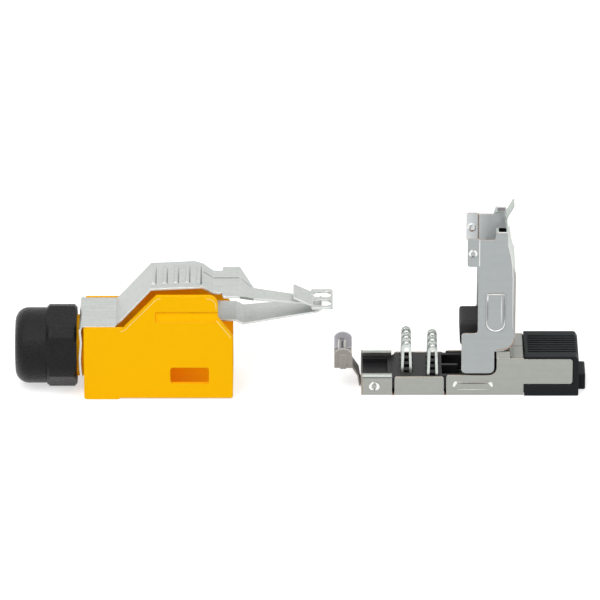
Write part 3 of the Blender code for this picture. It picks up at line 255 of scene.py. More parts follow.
def finishSurface(tree, shader, look, colour, tone, height, edge):
    # what both kinds of surface share: painted edge highlights over the colour, roughness that follows the
    # tone, bump
    # painted highlight: the edge mask mixes the colour towards a lighter edge colour
    paintedEdgeHighlight = mathNode(tree, "MULTIPLY", edge.outputs["Mask"], look["edgeHighlightShare"])
    rough = mathNode(tree, "MULTIPLY_ADD", tone, look["roughSpread"], look["rough"])
    link(tree, rough, shader.inputs["Roughness"])
    bump = addNode(tree, "ShaderNodeBump", {"Strength": look["bump"], "Distance": look["bumpDepth"]})
    link(tree, height, bump.inputs["Height"])
    link(tree, edge.outputs["Normal"], bump.inputs["Normal"])
    link(tree, bump.outputs[0], shader.inputs["Normal"])
    return mixColour(tree, paintedEdgeHighlight, colour, look["edgeHighlightColour"])


def mouldedPlastic(name, look):
    # coloured moulding: grain in the bump, a little speckle in the colour, and a painted glow for light through
    # thin walls
    made, tree, shader = startMaterial(name)
    grain = useGroup(tree, "grain", Scale=look["grainScale"], Coarse=look["coarse"])
    edge = useGroup(tree, "edge", Radius=look["edgeRadius"], Gain=look["edgeGain"])
    speck = grain.outputs["Speck"]
    speckled = mixColour(tree, speck, look["dark"], look["light"])
    moulded = finishSurface(tree, shader, look, speckled, speck, grain.outputs["Height"], edge)
    link(tree, moulded, shader.inputs["Base Color"])
    shader.inputs["Specular IOR Level"].default_value = look["gloss"]
    if "through" in look:
        # painted glow: emission on the inner faces, standing in for light that comes through the walls
        within = useGroup(tree, "within", **look["within"])
        through = mixColour(tree, within.outputs["Mask"], (0.0, 0.0, 0.0), look["through"])
        link(tree, through, shader.inputs["Emission Color"])
        shader.inputs["Emission Strength"].default_value = look["throughShare"]
    return made


def platedSheet(name, look):
    # plated sheet metal: rolled tone, painted light on inner faces and another tone between the walls,
    # and sheared edges in their own colour
    made, tree, shader = startMaterial(name)
    rolled = useGroup(tree, "rolled", Streak=look["streak"], Cloud=look["cloud"])
    edge = useGroup(tree, "edge", Radius=look["edgeRadius"], Gain=look["edgeGain"])
    tone = rolled.outputs["Tone"]
    base = mixColour(tree, tone, look["dark"], look["light"])
    if "inside" in look:
        # painted light: inner faces get a lighter colour, standing in for the light and reflections that reach
        # them
        outer = useGroup(tree, "outer", **look["outer"])
        base = mixColour(tree, outer.outputs["Mask"], look["inside"], base)
    if "middle" in look:
        walls = useGroup(tree, "outer", **look["walls"])
        base = mixColour(tree, walls.outputs["Mask"], look["middle"], base)
    plated = finishSurface(tree, shader, look, base, tone, rolled.outputs["Height"], edge)
    if "cut" in look:
        cut = useGroup(tree, "cut", **look["cut"])
        sheared = mathNode(tree, "MULTIPLY", cut.outputs["Mask"], look["cutShare"])
        plated = mixColour(tree, sheared, plated, look["cutColour"])
    link(tree, plated, shader.inputs["Base Color"])
    shader.inputs["Metallic"].default_value = look["metallic"]
    return made


# in every look the edge colour is a painted highlight, mixed in along the edges
yellowLook = {
    "dark": (0.99, 0.51, 0.0), "light": (1.0, 0.53, 0.0), "edgeHighlightColour": (1.0, 0.62, 0.04),
    "edgeHighlightShare": 0.35, "edgeRadius": 0.25 * mm, "edgeGain": 5.0, "grainScale": 5200.0, "coarse": 0.5,
    "rough": 0.55, "roughSpread": 0.12, "bump": 0.10, "bumpDepth": 0.02 * mm, "gloss": 0.06,
    # the glow colour and its strength paint an orange glow on the inner faces of the housing
    "through": (1.0, 0.30, 0.0), "throughShare": 0.095,
    "within": {"Wall": 7.25 * mm, "Front": -13.2 * mm, "Foot": 0.3 * mm},
}
nutLook = {
    "dark": (0.0, 0.0, 0.0), "light": (0.020, 0.020, 0.021), "edgeHighlightColour": (0.04, 0.04, 0.042),
    "edgeHighlightShare": 0.7, "edgeRadius": 0.25 * mm, "edgeGain": 4.0, "grainScale": 3000.0, "coarse": 0.8,
    "rough": 0.20, "roughSpread": 0.22, "bump": 1.0, "bumpDepth": 0.16 * mm, "gloss": 0.15,
}
carrierLook = {
    "dark": (0.008, 0.0075, 0.0085), "light": (0.016, 0.015, 0.017), "edgeHighlightColour": (0.06, 0.06, 0.062),
    "edgeHighlightShare": 0.6, "edgeRadius": 0.12 * mm, "edgeGain": 4.0, "grainScale": 4200.0, "coarse": 0.3,
    "rough": 0.40, "roughSpread": 0.15, "bump": 0.12, "bumpDepth": 0.02 * mm, "gloss": 0.3,
}
noseLook = {
    "dark": (0.007, 0.0078, 0.009), "light": (0.015, 0.0165, 0.019), "edgeHighlightColour": (0.08, 0.085, 0.09),
    "edgeHighlightShare": 0.7, "edgeRadius": 0.18 * mm, "edgeGain": 4.0, "grainScale": 4800.0, "coarse": 0.3,
    "rough": 0.42, "roughSpread": 0.15, "bump": 0.15, "bumpDepth": 0.02 * mm, "gloss": 0.12,
}
capLook = {
    "dark": (0.17, 0.155, 0.165), "light": (0.22, 0.205, 0.215), "edgeHighlightColour": (0.4, 0.38, 0.39),
    "edgeHighlightShare": 0.5, "edgeRadius": 0.2 * mm, "edgeGain": 4.0, "grainScale": 4800.0, "coarse": 0.3,
    "rough": 0.45, "roughSpread": 0.15, "bump": 0.15, "bumpDepth": 0.02 * mm, "gloss": 0.4,
}
rubberLook = {
    "dark": (0.011, 0.011, 0.011), "light": (0.03, 0.03, 0.031), "edgeHighlightColour": (0.07, 0.07, 0.07),
    "edgeHighlightShare": 0.4, "edgeRadius": 0.3 * mm, "edgeGain": 3.0, "grainScale": 6200.0, "coarse": 0.3,
    "rough": 0.6, "roughSpread": 0.2, "bump": 0.2, "bumpDepth": 0.03 * mm, "gloss": 0.35,
}
springLook = {
    "dark": (0.38, 0.40, 0.385), "light": (0.74, 0.765, 0.74), "edgeHighlightColour": (0.88, 0.89, 0.90),
    "edgeHighlightShare": 0.8, "edgeRadius": 0.16 * mm, "edgeGain": 4.0, "streak": 2600.0, "cloud": 1500.0,
    "rough": 0.36, "roughSpread": 0.12, "bump": 0.10, "bumpDepth": 0.02 * mm, "metallic": 1.0,
}
nickelLook = {
    "dark": (0.29, 0.295, 0.272), "light": (0.37, 0.378, 0.352), "edgeHighlightColour": (0.85, 0.84, 0.80),
    "edgeHighlightShare": 0.8, "edgeRadius": 0.14 * mm, "edgeGain": 4.0, "streak": 1200.0, "cloud": 700.0,
    "rough": 0.26, "roughSpread": 0.12, "bump": 0.06, "bumpDepth": 0.015 * mm, "metallic": 0.85,
}
shellLook = {**nickelLook, "cut": {"Inner": 5.49 * mm}, "cutShare": 0.75, "cutColour": (0.36, 0.23, 0.14)}
# the inside colour is painted light on the inner faces of the walls
lidLook = {
    **shellLook, "dark": (0.33, 0.35, 0.352), "light": (0.41, 0.435, 0.437), "metallic": 0.45,
    "cut": {"Inner": 6.0 * mm}, "outer": {"Limit": 6.12 * mm}, "inside": (0.76, 0.79, 0.80),
    "walls": {"Limit": 5.7 * mm}, "middle": (0.46, 0.52, 0.47),
}
# the inside colour is painted light and reflection inside the clamp
clampLook = {
    **nickelLook, "dark": (0.24, 0.225, 0.20), "light": (0.31, 0.29, 0.26), "metallic": 0.5,
    "outer": {"Limit": 3.98 * mm, "Foot": 5.75 * mm}, "inside": (0.60, 0.60, 0.655),
}
contactLook = {
    "dark": (0.42, 0.46, 0.43), "light": (0.68, 0.72, 0.69), "edgeHighlightColour": (0.95, 0.95, 0.93),
    "edgeHighlightShare": 0.7, "edgeRadius": 0.12 * mm, "edgeGain": 4.0, "streak": 900.0, "cloud": 700.0,
    "rough": 0.2, "roughSpread": 0.14, "bump": 0.05, "bumpDepth": 0.015 * mm, "metallic": 0.9,
}
goldLook = {
    **contactLook, "dark": (0.66, 0.46, 0.16), "light": (0.85, 0.62, 0.25), "edgeHighlightColour": (0.95, 0.78, 0.42),
}
boardLook = {
    "dark": (0.02, 0.06, 0.035), "light": (0.03, 0.09, 0.05), "edgeHighlightColour": (0.3, 0.3, 0.2),
    "edgeHighlightShare": 0.5, "edgeRadius": 0.1 * mm, "edgeGain": 4.0, "grainScale": 3000.0, "coarse": 0.3,
    "rough": 0.4, "roughSpread": 0.1, "bump": 0.05, "bumpDepth": 0.02 * mm, "gloss": 0.5,
}
# pale yellow for painted highlights along the rounded edges of the housing
yellowHighlightLineLook = {
    **yellowLook, "dark": (1.0, 0.72, 0.20), "light": (1.0, 0.78, 0.28), "edgeHighlightColour": (1.0, 0.85, 0.4),
}
# dark grey for painted shade in creases, slots and along the sides of pressings
creaseShadeLook = {
    **springLook, "dark": (0.16, 0.17, 0.17), "light": (0.30, 0.31, 0.31), "edgeHighlightColour": (0.4, 0.4, 0.4),
}
shadeLook = {**creaseShadeLook, "dark": (0.05, 0.05, 0.05), "light": (0.10, 0.10, 0.10), "metallic": 0.5}
# pale for painted highlights on bends and on the feet of pressings
paleFoldHighlightLook = {**nickelLook, "dark": (0.52, 0.59, 0.54), "light": (0.66, 0.72, 0.68), "metallic": 0.6}
# near white for painted highlights: glints, bright folds, rims and edge lines
brightFoldHighlightLook = {**nickelLook, "dark": (0.75, 0.76, 0.74), "light": (0.92, 0.92, 0.90), "metallic": 0.6}
# copper-brown for the sheared edges, and also for painted shade under the dents inside the lid
copperAndShadeLook = {
    **brightFoldHighlightLook, "dark": (0.22, 0.13, 0.07), "light": (0.36, 0.22, 0.13), "edgeHighlightColour": (0.55, 0.38, 0.25),
}
# near black for painted shade: dark plates laid where there is only shade, in the slits and the folded tab
gapShadeLook = {
    **carrierLook, "dark": (0.003, 0.003, 0.003), "light": (0.005, 0.005, 0.005), "edgeHighlightShare": 0.0,
    "gloss": 0.0, "rough": 0.8,
}

finishes = {
    "yellow": mouldedPlastic("yellowMoulding", yellowLook),
    "nut": mouldedPlastic("grainedBlackNut", nutLook),
    "carrier": mouldedPlastic("blackCarrier", carrierLook),
    "nose": mouldedPlastic("darkNose", noseLook),
    "cap": mouldedPlastic("greyCap", capLook),
    "rubber": mouldedPlastic("sealRubber", rubberLook),
    "board": mouldedPlastic("boardResist", boardLook),
    "spring": platedSheet("galvanisedSpring", springLook),
    "nickel": platedSheet("nickelShell", shellLook),
    "lid": platedSheet("nickelLid", lidLook),
    "clamp": platedSheet("nickelClamp", clampLook),
    "contact": platedSheet("tinnedContact", contactLook),
    "gold": platedSheet("goldBlade", goldLook),
    "paintedYellowHighlight": mouldedPlastic("paintedYellowEdgeHighlight", yellowHighlightLineLook),
    "creaseShade": platedSheet("paintedCreaseShade", creaseShadeLook),
    "shade": platedSheet("pressedShade", shadeLook),
    "paleFoldHighlight": platedSheet("paleFoldHighlight", paleFoldHighlightLook),
    "brightFoldHighlight": platedSheet("brightFoldHighlight", brightFoldHighlightLook),
    "copperAndShade": platedSheet("shearedCopperAndShade", copperAndShadeLook),
    "paintedGapShade": mouldedPlastic("paintedOpenGapShade", gapShadeLook),
}
print("finishes ready:", len(finishes))

nodeFinish = {
    "housing": "yellow", "gland_seal": "rubber", "gland_slip_ring": "carrier", "gland_nut": "nut",
    "latch_lever": "spring", "latch_leaf": "spring", "base_shell": "nickel", "cable_clamp": "clamp",
    "hinge_pin": "clamp", "carrier": "carrier", "circuit_board": "board", "nose": "nose",
    "lid_shell": "lid", "lid_block": "carrier", "lid_end": "carrier", "lid_pad": "rubber",
}
for name, node in nodes.items():
    if name.startswith("idc_contact"):
        key = "contact"
    elif name.startswith("blade"):
        key = "gold"
    else:
        key = nodeFinish[name]
    for place in node.material_slots:
        place.material = finishes[key]
print("nodes dressed")


# new pieces, each a surface worked out point by point

def buildPiece(name, points, faces, body, finish, smooth=True):
    mesh = bpy.data.meshes.new(name)
    mesh.from_pydata(np.asarray(points, dtype=float).tolist(), [], faces)
    mesh.materials.append(finishes[finish])
    mesh.polygons.foreach_set("use_smooth", [smooth] * len(mesh.polygons))
    made = bpy.data.objects.new(name, mesh)
    bpy.context.scene.collection.objects.link(made)
    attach(made, body)
    return made


def ringFaces(rows, columns, flip=False, closeRows=False):
    # quads between rings of points; the columns always run round
    faces = []
    for row in range(rows if closeRows else rows - 1):
        above = (row + 1) % rows
        for column in range(columns):
            beside = (column + 1) % columns
            quad = (
                row * columns + column, row * columns + beside,
                above * columns + beside, above * columns + column,
            )
            faces.append(quad[::-1] if flip else quad)
    return faces


nutPlan = {
    "mouth": -43.0, "end": -54.9, "hexLength": 5.8, "flats": 14.7, "corners": 15.9, "turn": 18.2,
    "chamfer": 0.5, "dome": 7.3, "domeRound": 2.6, "domeFlat": 0.2, "bore": 6.2, "endWall": 2.0,
    "hole": 3.7, "axisZ": 8.1, "columns": 240, "domeRows": 13, "sharpAngle": 24.0,
    "lip": 0.3, "lipStep": 0.08, "edge": 0.06, "land": 0.1, "proud": 0.01, "mouthEdge": 0.04,
    "boreEdge": 0.1, "grooveBack": 0.16, "grooveMiddle": 0.1, "grooveFront": 0.04, "grooveDeep": 0.06,
}


def makeSmoothNut(plan):
    # radius at angle a and place x: min(flat / cos(angle from the middle of the flat), the ring's radius)
    angles = np.linspace(0.0, 2 * np.pi, plan["columns"], endpoint=False)
    away = (np.degrees(angles) - plan["turn"]) % 60.0 - 30.0
    hexagon = plan["flats"] / 2 / np.cos(np.radians(away))
    mouth, end, corner, chamfer = plan["mouth"], plan["end"], plan["corners"] / 2, plan["chamfer"]
    hole, dome, rim, bore = plan["hole"], plan["dome"], plan["domeRound"], plan["bore"]
    lip, step, edge, land = plan["lip"], plan["lipStep"], plan["edge"], plan["land"]
    back = mouth - plan["hexLength"]
    shoulder = end + plan["endWall"]
    turns = np.radians(np.linspace(180.0, 90.0, plan["domeRows"]))
    rings = [(shoulder, hole), (end + lip, hole), (end + step, hole + step)]
    rings += [(end, hole + lip), (end, dome - rim - plan["domeFlat"])]
    rings += [(end + rim + rim * np.cos(t), dome - rim + rim * np.sin(t)) for t in turns]
    rings += [
        (back - plan["grooveBack"], dome), (back - plan["grooveMiddle"], dome - plan["grooveDeep"]),
        (back - plan["grooveFront"], dome),
    ]
    outer = [
        (back, corner - chamfer), (back + edge, corner - chamfer + edge),
        (back + chamfer, corner), (back + chamfer + land, corner + plan["proud"]),
        (mouth - chamfer - land, corner + plan["proud"]), (mouth - chamfer, corner),
        (mouth - plan["mouthEdge"], corner - chamfer),
    ]
    rows = [(x, np.full_like(angles, r)) for x, r in rings]
    rows += [(x, np.minimum(hexagon, r)) for x, r in outer]
    rows += [
        (mouth, np.minimum(hexagon, corner - chamfer) - edge),
        (mouth, np.full_like(angles, bore + plan["boreEdge"])),
        (mouth - plan["boreEdge"], np.full_like(angles, bore)), (shoulder, np.full_like(angles, bore)),
    ]
    points = [
        np.stack([np.full_like(angles, x), r * np.cos(angles), plan["axisZ"] + r * np.sin(angles)], axis=1)
        for x, r in rows
    ]
    made = buildPiece(
        "gland_nut_smooth", np.concatenate(points) * mm, ringFaces(len(rows), plan["columns"], closeRows=True),
        "nut", "nut",
    )
    made.data.set_sharp_from_angle(angle=math.radians(plan["sharpAngle"]))
    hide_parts("gland_nut")


def roundedOutline(low, high, radii, steps=8):
    # outline of a rectangle, counter-clockwise from its lower left corner, each corner with its own radius
    corners = [
        ((low[0], low[1]), (1, 1), 180), ((high[0], low[1]), (-1, 1), 270),
        ((high[0], high[1]), (-1, -1), 0), ((low[0], high[1]), (1, -1), 90),
    ]
    outline = []
    for (corner, inward, start), radius in zip(corners, radii):
        for step in range(steps + 1):
            a = math.radians(start + 90.0 * step / steps)
            outline.append((
                corner[0] + inward[0] * radius + radius * math.cos(a),
                corner[1] + inward[1] * radius + radius * math.sin(a),
            ))
    return np.array(outline)


def makeDish(name, outline, inner, side, base, profile, body, finish):
    # outline shrinks towards the inner rectangle; profile lists (share of the way in, height over the wall)
    nearest = np.clip(outline, inner[0], inner[1])
    rings = []
    for share, height in profile:
        flat = outline + (nearest - outline) * share
        rings.append(np.stack([flat[:, 0], np.full(len(flat), side * (base + height)), flat[:, 1]], axis=1))
    count = len(outline)
    faces = ringFaces(len(profile), count, side > 0)
    middle = list(range((len(profile) - 1) * count, len(profile) * count))
    faces.append(tuple(middle if side < 0 else middle[::-1]))
    buildPiece(name, np.concatenate(rings) * mm, faces, body, finish)


pressedPlan = {
    "shellWall": 5.8, "lidWall": 6.3, "lidInside": 6.0, "tip": 0.02,
    # each profile lists (share of the way in, height over the wall)
    "rim": [(0.0, -0.04), (0.10, 0.10), (0.22, 0.20), (0.34, 0.24), (0.48, 0.20), (0.68, 0.155), (0.9, 0.15)],
    "lowRim": [
        (0.0, -0.04), (0.12, 0.06), (0.24, 0.13), (0.36, 0.15), (0.5, 0.12), (0.7, 0.08), (0.9, 0.075),
    ],
    "crown": [
        (0.0, -0.04), (0.08, 0.05), (0.2, 0.13), (0.36, 0.21), (0.55, 0.255), (0.8, 0.27), (0.97, 0.27),
    ],
    "dent": [(0.0, -0.03), (0.12, 0.05), (0.28, 0.09), (0.45, 0.05), (0.7, 0.02), (0.95, 0.015)],
    "shellBead": {
        "low": (29.1, 1.15), "high": (37.2, 3.05), "radii": (0.9,) * 4, "steps": 6,
        "lowInset": (1.35, 0.6), "highInset": (1.35, 0.6),
    },
    "lidBead": {
        "low": (35.4, 13.7), "high": (39.4, 21.9), "radii": (1.9, 1.9, 0.45, 0.45), "steps": 8,
        "lowInset": (0.95, 1.1), "highInset": (0.75, 0.45),
    },
    "catch": (14.1, 2.05, 0.95), "tabButton": (32.95, 30.2, 0.92),
}


def beadOutline(bead):
    # outline of a long pressing, and the rectangle that it shrinks towards
    low, high, lowInset, highInset = bead["low"], bead["high"], bead["lowInset"], bead["highInset"]
    inner = ((low[0] + lowInset[0], low[1] + lowInset[1]), (high[0] - highInset[0], high[1] - highInset[1]))
    return roundedOutline(low, high, bead["radii"], bead["steps"]), inner


def discOutline(spot, tip):
    # outline of a round pressing (x, z, radius), and the small square that it shrinks towards
    x, z, radius = spot
    outline = roundedOutline((x - radius, z - radius), (x + radius, z + radius), (radius,) * 4)
    return outline, ((x - tip, z - tip), (x + tip, z + tip))


def makePressings(plan):
    # beads and buttons pressed out of the side walls, and the buttons' dents inside the lid
    catch, button = discOutline(plan["catch"], plan["tip"]), discOutline(plan["tabButton"], plan["tip"])
    inside = [(share, height - plan["lidInside"] * 2) for share, height in plan["dent"]]
    for side, word in ((-1, "near"), (1, "far")):
        for name, (outline, inner), facing, wall, profile, body, finish in (
            ("shell_bead", beadOutline(plan["shellBead"]), side, "shellWall", plan["lowRim"], "root", "nickel"),
            ("lid_bead", beadOutline(plan["lidBead"]), side, "lidWall", plan["rim"], "lid", "lid"),
            ("shell_catch", catch, side, "shellWall", plan["crown"], "root", "nickel"),
            ("tab_button", button, side, "lidWall", plan["crown"], "lid", "lid"),
            ("tab_dent", button, -side, "lidInside", inside, "lid", "lid"),
        ):
            makeDish(
                f"{name}_{word}", outline, inner, facing, plan[wall], profile, body, finish,
            )


ridgeShape = {"rows": 7, "sunk": 0.01, "height": 0.05}


def makeRidge(name, path, normal, width, height, body, finish):
    # a low ridge along a path: half-ellipse across it, height * sin(t) up and width / 2 * cos(t) across,
    # sunk a little into the surface that it lies on
    path = np.array(path, dtype=float)
    normal = np.broadcast_to(np.array(normal, dtype=float), path.shape)
    along = np.gradient(path, axis=0)
    across = np.cross(along, normal)
    across /= np.linalg.norm(across, axis=1)[:, None]
    widths = np.broadcast_to(np.asarray(width, dtype=float), (len(path),))[:, None]
    turns = np.linspace(0.0, np.pi, ridgeShape["rows"])
    rows = [
        path + across * widths / 2 * math.cos(t) + normal * (height * math.sin(t) - ridgeShape["sunk"])
        for t in turns
    ]
    count = len(path)
    faces = []
    for row in range(len(turns) - 1):
        for k in range(count - 1):
            here, above = row * count + k, (row + 1) * count + k
            faces.append((here, here + 1, above + 1, above))
    buildPiece(name, np.concatenate(rows) * mm, faces, body, finish)


housingLines = {
    "ramp": [(-34.6, 14.35), (-33.95, 14.45), (-33.6, 14.7), (-27.75, 20.92), (-27.35, 21.15), (-26.8, 21.2)],
    "corner": [(-18.0, 21.2), (-17.3, 21.15), (-16.75, 20.85), (-16.35, 20.35), (-16.2, 19.7), (-16.2, 19.0)],
    "brow": [(-16.1, 16.7), (-15.7, 16.1), (-13.35, 13.0)],
    "wallFace": 7.5, "width": 0.16,
}


def makeHousingLines(plan):
    # painted highlights along the lower border of the rounded edge round the top of the side walls; the far
    # wall has its upper front corner cut away, so it has no line there
    for word in ("ramp", "corner", "brow"):
        for side, place in ((-1, "near"), (1, "far")):
            if word == "corner" and side > 0:
                continue
            path = [(x, side * plan["wallFace"], z) for x, z in plan[word]]
            makeRidge(
                f"{word}_line_{place}", path, (0, side, 0), plan["width"], ridgeShape["height"],
                "root", "paintedYellowHighlight",
            )


gripPlan = {
    "back": -28.7, "front": -20.4, "topZ": 22.9, "lift": 0.2, "drop": 0.4, "pitch": 2.16, "count": 5,
    "step": 0.5, "half": 3.9, "nearReach": 0.1, "farReach": 0.4, "points": 14, "wide": 0.42, "narrowing": 0.8,
}


def makeGripCreases(plan):
    # painted shade in the crease at the foot of each grip rib, widest at the near end
    for rib in range(plan["count"]):
        x = plan["back"] + plan["step"] + rib * plan["pitch"]
        fall = max(0.0, plan["front"] - x) * plan["drop"] / (plan["front"] - plan["back"])
        top = plan["topZ"] + plan["lift"] - fall
        reach = np.linspace(-plan["half"] - plan["nearReach"], plan["half"] - plan["farReach"], plan["points"])
        path = [(x + plan["step"], y, top) for y in reach]
        widths = plan["wide"] * (1.0 - plan["narrowing"] * (reach - reach[0]) / (reach[-1] - reach[0]))
        makeRidge(
            f"grip_crease_{rib + 1}", path, (0, 0, 1), widths, ridgeShape["height"], "latch", "creaseShade",
        )


foldPlan = {
    "x": (37.85, 39.3), "y": (4.0, 5.75), "z": 34.5, "corner": 0.2, "lift": 0.03, "skirt": 0.06,
    "rimY": 6.02, "rimWide": 0.42, "rimPoints": 6,
    "lineX": 34.2, "lineZ": (27.6, 33.0), "linePoints": 10,
    "outer": {"wall": 6.3, "facing": 1, "wide": 0.18, "finish": "brightFoldHighlight"},
    "inner": {"wall": 6.0, "facing": -1, "wide": 0.22, "finish": "copperAndShade"},
}


def makeFoldDetails(plan):
    # the gap in the folded tab at the end of each lid wall, a plate of painted shade on the near side and grey
    # on the far side, with a painted highlight rim, and the fold beside the tab with the button, with a painted
    # highlight outside and copper inside
    for side, word in ((-1, "near"), (1, "far")):
        low = (plan["x"][0], min(side * plan["y"][0], side * plan["y"][1]))
        high = (plan["x"][1], max(side * plan["y"][0], side * plan["y"][1]))
        outline = roundedOutline(low, high, (plan["corner"],) * 4, 4)
        count = len(outline)
        flat = np.stack([outline[:, 0], outline[:, 1], np.full(count, plan["z"] + plan["lift"])], axis=1)
        skirt = flat - np.array([0.0, 0.0, plan["skirt"]])
        faces = ringFaces(2, count) + [tuple(range(count, 2 * count))]
        buildPiece(
            f"fold_gap_{word}", np.concatenate([skirt, flat]) * mm, faces, "lid", "paintedGapShade" if side < 0 else "cap",
            False,
        )
        rim = [(x, side * plan["rimY"], plan["z"]) for x in np.linspace(*plan["x"], plan["rimPoints"])]
        makeRidge(
            f"fold_rim_{word}", rim, (0, 0, 1), plan["rimWide"], ridgeShape["height"], "lid", "brightFoldHighlight",
        )
        heights = np.linspace(*plan["lineZ"], plan["linePoints"])
        for place in ("outer", "inner"):
            line = plan[place]
            path = [(plan["lineX"], side * line["wall"], z) for z in heights]
            makeRidge(
                f"fold_line_{word}_{place}", path, (0, side * line["facing"], 0), line["wide"],
                ridgeShape["height"], "lid", line["finish"],
            )


def arcPoints(x, z, radius, start, end, steps=12):
    # points (x, z) along an arc about a centre, from one angle in degrees to another
    turns = np.radians(np.linspace(start, end, steps + 1))
    return [(x + radius * math.cos(t), z + radius * math.sin(t)) for t in turns]


strokePlan = [
    # name, body, finish, distance from the middle plane (below 0 for the inner face of a wall), width,
    # pointed ends, points (x, z)
    ("catch_glint_back", "root", "brightFoldHighlight", 6.02, 0.62, True, arcPoints(14.2, 2.05, 0.72, 115, 255)),
    ("catch_glint_front", "root", "brightFoldHighlight", 6.02, 0.62, True, arcPoints(14.2, 2.05, 0.72, 65, -75)),
    ("catch_shade", "root", "creaseShade", 6.05, 0.2, True, arcPoints(14.2, 2.1, 0.42, 150, 30)),
    ("catch_fold", "root", "shade", 6.05, 0.18, True, [(14.2, 1.15), (14.2, 1.45), (14.2, 1.75)]),
    ("bead_glint_back", "root", "brightFoldHighlight", 5.93, 0.6, True, arcPoints(30.2, 2.05, 0.68, 95, 190)),
    ("bead_glint_front", "root", "brightFoldHighlight", 5.93, 0.6, True, arcPoints(36.1, 2.05, 0.68, 85, -10)),
    (
        "bead_shade", "root", "shade", 5.93, 0.26, True,
        [(30.3, 2.7), (31.5, 2.72), (33.2, 2.72), (35.0, 2.72), (36.0, 2.7)],
    ),
    # painted highlights on the foot of the bead and along the rear flange
    (
        "bead_foot", "root", "paleFoldHighlight", 5.92, 0.16, True,
        [(30.2, 1.4), (31.5, 1.38), (33.2, 1.38), (35.0, 1.38), (36.2, 1.4)],
    ),
    (
        "flange_band", "root", "paleFoldHighlight", 5.8, 0.3, False,
        [(12.0, 4.12), (13.9, 4.12), (15.6, 4.12), (17.5, 4.12)],
    ),
    ("flange_shade", "root", "shade", 5.8, 0.2, False, [(12.0, 3.8), (13.9, 3.8), (15.6, 3.8), (17.5, 3.8)]),
    # painted shade: dark strips at the foot of the slits, where shade falls in them
    ("rear_slit_foot", "root", "paintedGapShade", 5.79, 0.44, False, [(17.85, 0.42), (17.85, 0.8), (17.85, 1.2)]),
    ("rear_slit_cut", "root", "copperAndShade", 5.8, 0.3, False, [(17.6, 0.26), (17.85, 0.26), (18.1, 0.26)]),
    ("middle_slit_foot", "root", "paintedGapShade", 5.79, 0.44, False, [(27.85, 0.42), (27.85, 0.8), (27.85, 1.2)]),
    ("middle_slit_cut", "root", "copperAndShade", 5.8, 0.3, False, [(27.6, 0.26), (27.85, 0.26), (28.1, 0.26)]),
    ("rear_end_cut", "root", "copperAndShade", 5.8, 0.16, False, [(11.82, 0.25), (11.82, 2.0), (11.82, 3.9)]),
    # painted shade in the slot inside the clamp's wall, with painted highlights beside it
    ("clamp_slot_arc", "root", "creaseShade", -3.63, 0.22, True, arcPoints(8.06, 7.25, 0.55, 165, 15)),
    (
        "clamp_slot_bar", "root", "creaseShade", -3.63, 0.36, False,
        [(8.06, 7.2), (8.06, 6.8), (8.06, 6.3), (8.06, 5.8)],
    ),
    (
        "clamp_slot_back", "root", "brightFoldHighlight", -3.63, 0.62, True,
        [(7.5, 7.7), (7.48, 7.0), (7.46, 6.3), (7.44, 5.3)],
    ),
    (
        "clamp_slot_front", "root", "brightFoldHighlight", -3.63, 0.62, True,
        [(8.62, 7.7), (8.64, 7.0), (8.66, 6.3), (8.68, 5.3)],
    ),
    ("button_glint_back", "lid", "brightFoldHighlight", 6.52, 0.5, True, arcPoints(32.95, 30.2, 0.6, 100, 235)),
    ("button_glint_front", "lid", "brightFoldHighlight", 6.52, 0.5, True, arcPoints(32.95, 30.2, 0.6, 80, -55)),
    ("button_shade", "lid", "shade", 6.55, 0.2, True, arcPoints(32.95, 30.15, 0.5, 235, 305)),
    ("dent_glint_back", "lid", "brightFoldHighlight", -5.9, 0.5, True, arcPoints(32.95, 30.2, 0.55, 90, 215)),
    ("dent_glint_front", "lid", "brightFoldHighlight", -5.9, 0.5, True, arcPoints(32.95, 30.2, 0.55, 70, -30)),
    # painted shade under the dent inside the lid, drawn in the copper-brown finish
    ("dent_shade", "lid", "copperAndShade", -5.88, 0.3, True, arcPoints(32.95, 30.15, 0.6, 230, 310)),
    # painted shade along the sides of the bead on the lid
    (
        "lid_bead_shade_front", "lid", "creaseShade", 6.54, 0.34, True,
        [(39.0, 21.3), (39.02, 19.5), (39.02, 17.6), (38.95, 15.8)],
    ),
    (
        "lid_bead_shade_back", "lid", "creaseShade", 6.54, 0.26, True,
        [(35.85, 20.1), (35.83, 19.0), (35.83, 17.6), (35.87, 16.2)],
    ),
    (
        "lid_bead_glint_back", "lid", "brightFoldHighlight", 6.54, 0.3, True,
        [(35.9, 21.6), (35.85, 21.2), (35.84, 20.7), (35.84, 20.3)],
    ),
    (
        "lid_bead_glint_foot", "lid", "brightFoldHighlight", 6.52, 0.24, True,
        [(35.66, 16.2)] + arcPoints(37.4, 15.75, 1.74, 180, 360, 20) + [(39.14, 16.4)],
    ),
    (
        "lid_bead_glint_inner", "lid", "brightFoldHighlight", 6.46, 0.14, True,
        [(38.5, 21.5), (38.5, 19.5), (38.5, 17.5), (38.5, 15.6)],
    ),
    (
        "lid_bead_glint_head", "lid", "brightFoldHighlight", 6.54, 0.18, True,
        [(35.7, 21.66), (37.0, 21.68), (38.2, 21.68), (39.1, 21.64)],
    ),
    (
        "lid_heel_cut", "lid", "copperAndShade", 6.3, 0.22, True,
        [(41.05, 12.7), (41.0, 12.0), (40.7, 11.15), (40.1, 10.5), (39.3, 10.17), (38.2, 9.97), (37.6, 9.88)],
    ),
    (
        "lid_back_cut", "lid", "copperAndShade", 6.3, 0.14, True,
        [(41.08, 12.9), (41.08, 18.0), (41.08, 23.0), (41.08, 26.4)],
    ),
    # painted highlight along the back of the lid wall
    (
        "lid_back_line", "lid", "brightFoldHighlight", 6.3, 0.16, True,
        [(39.75, 32.9), (40.2, 29.9), (40.55, 27.4), (40.66, 25.0), (40.66, 20.0), (40.66, 14.5)],
    ),
]


strokeShape = {"tip": 0.03}


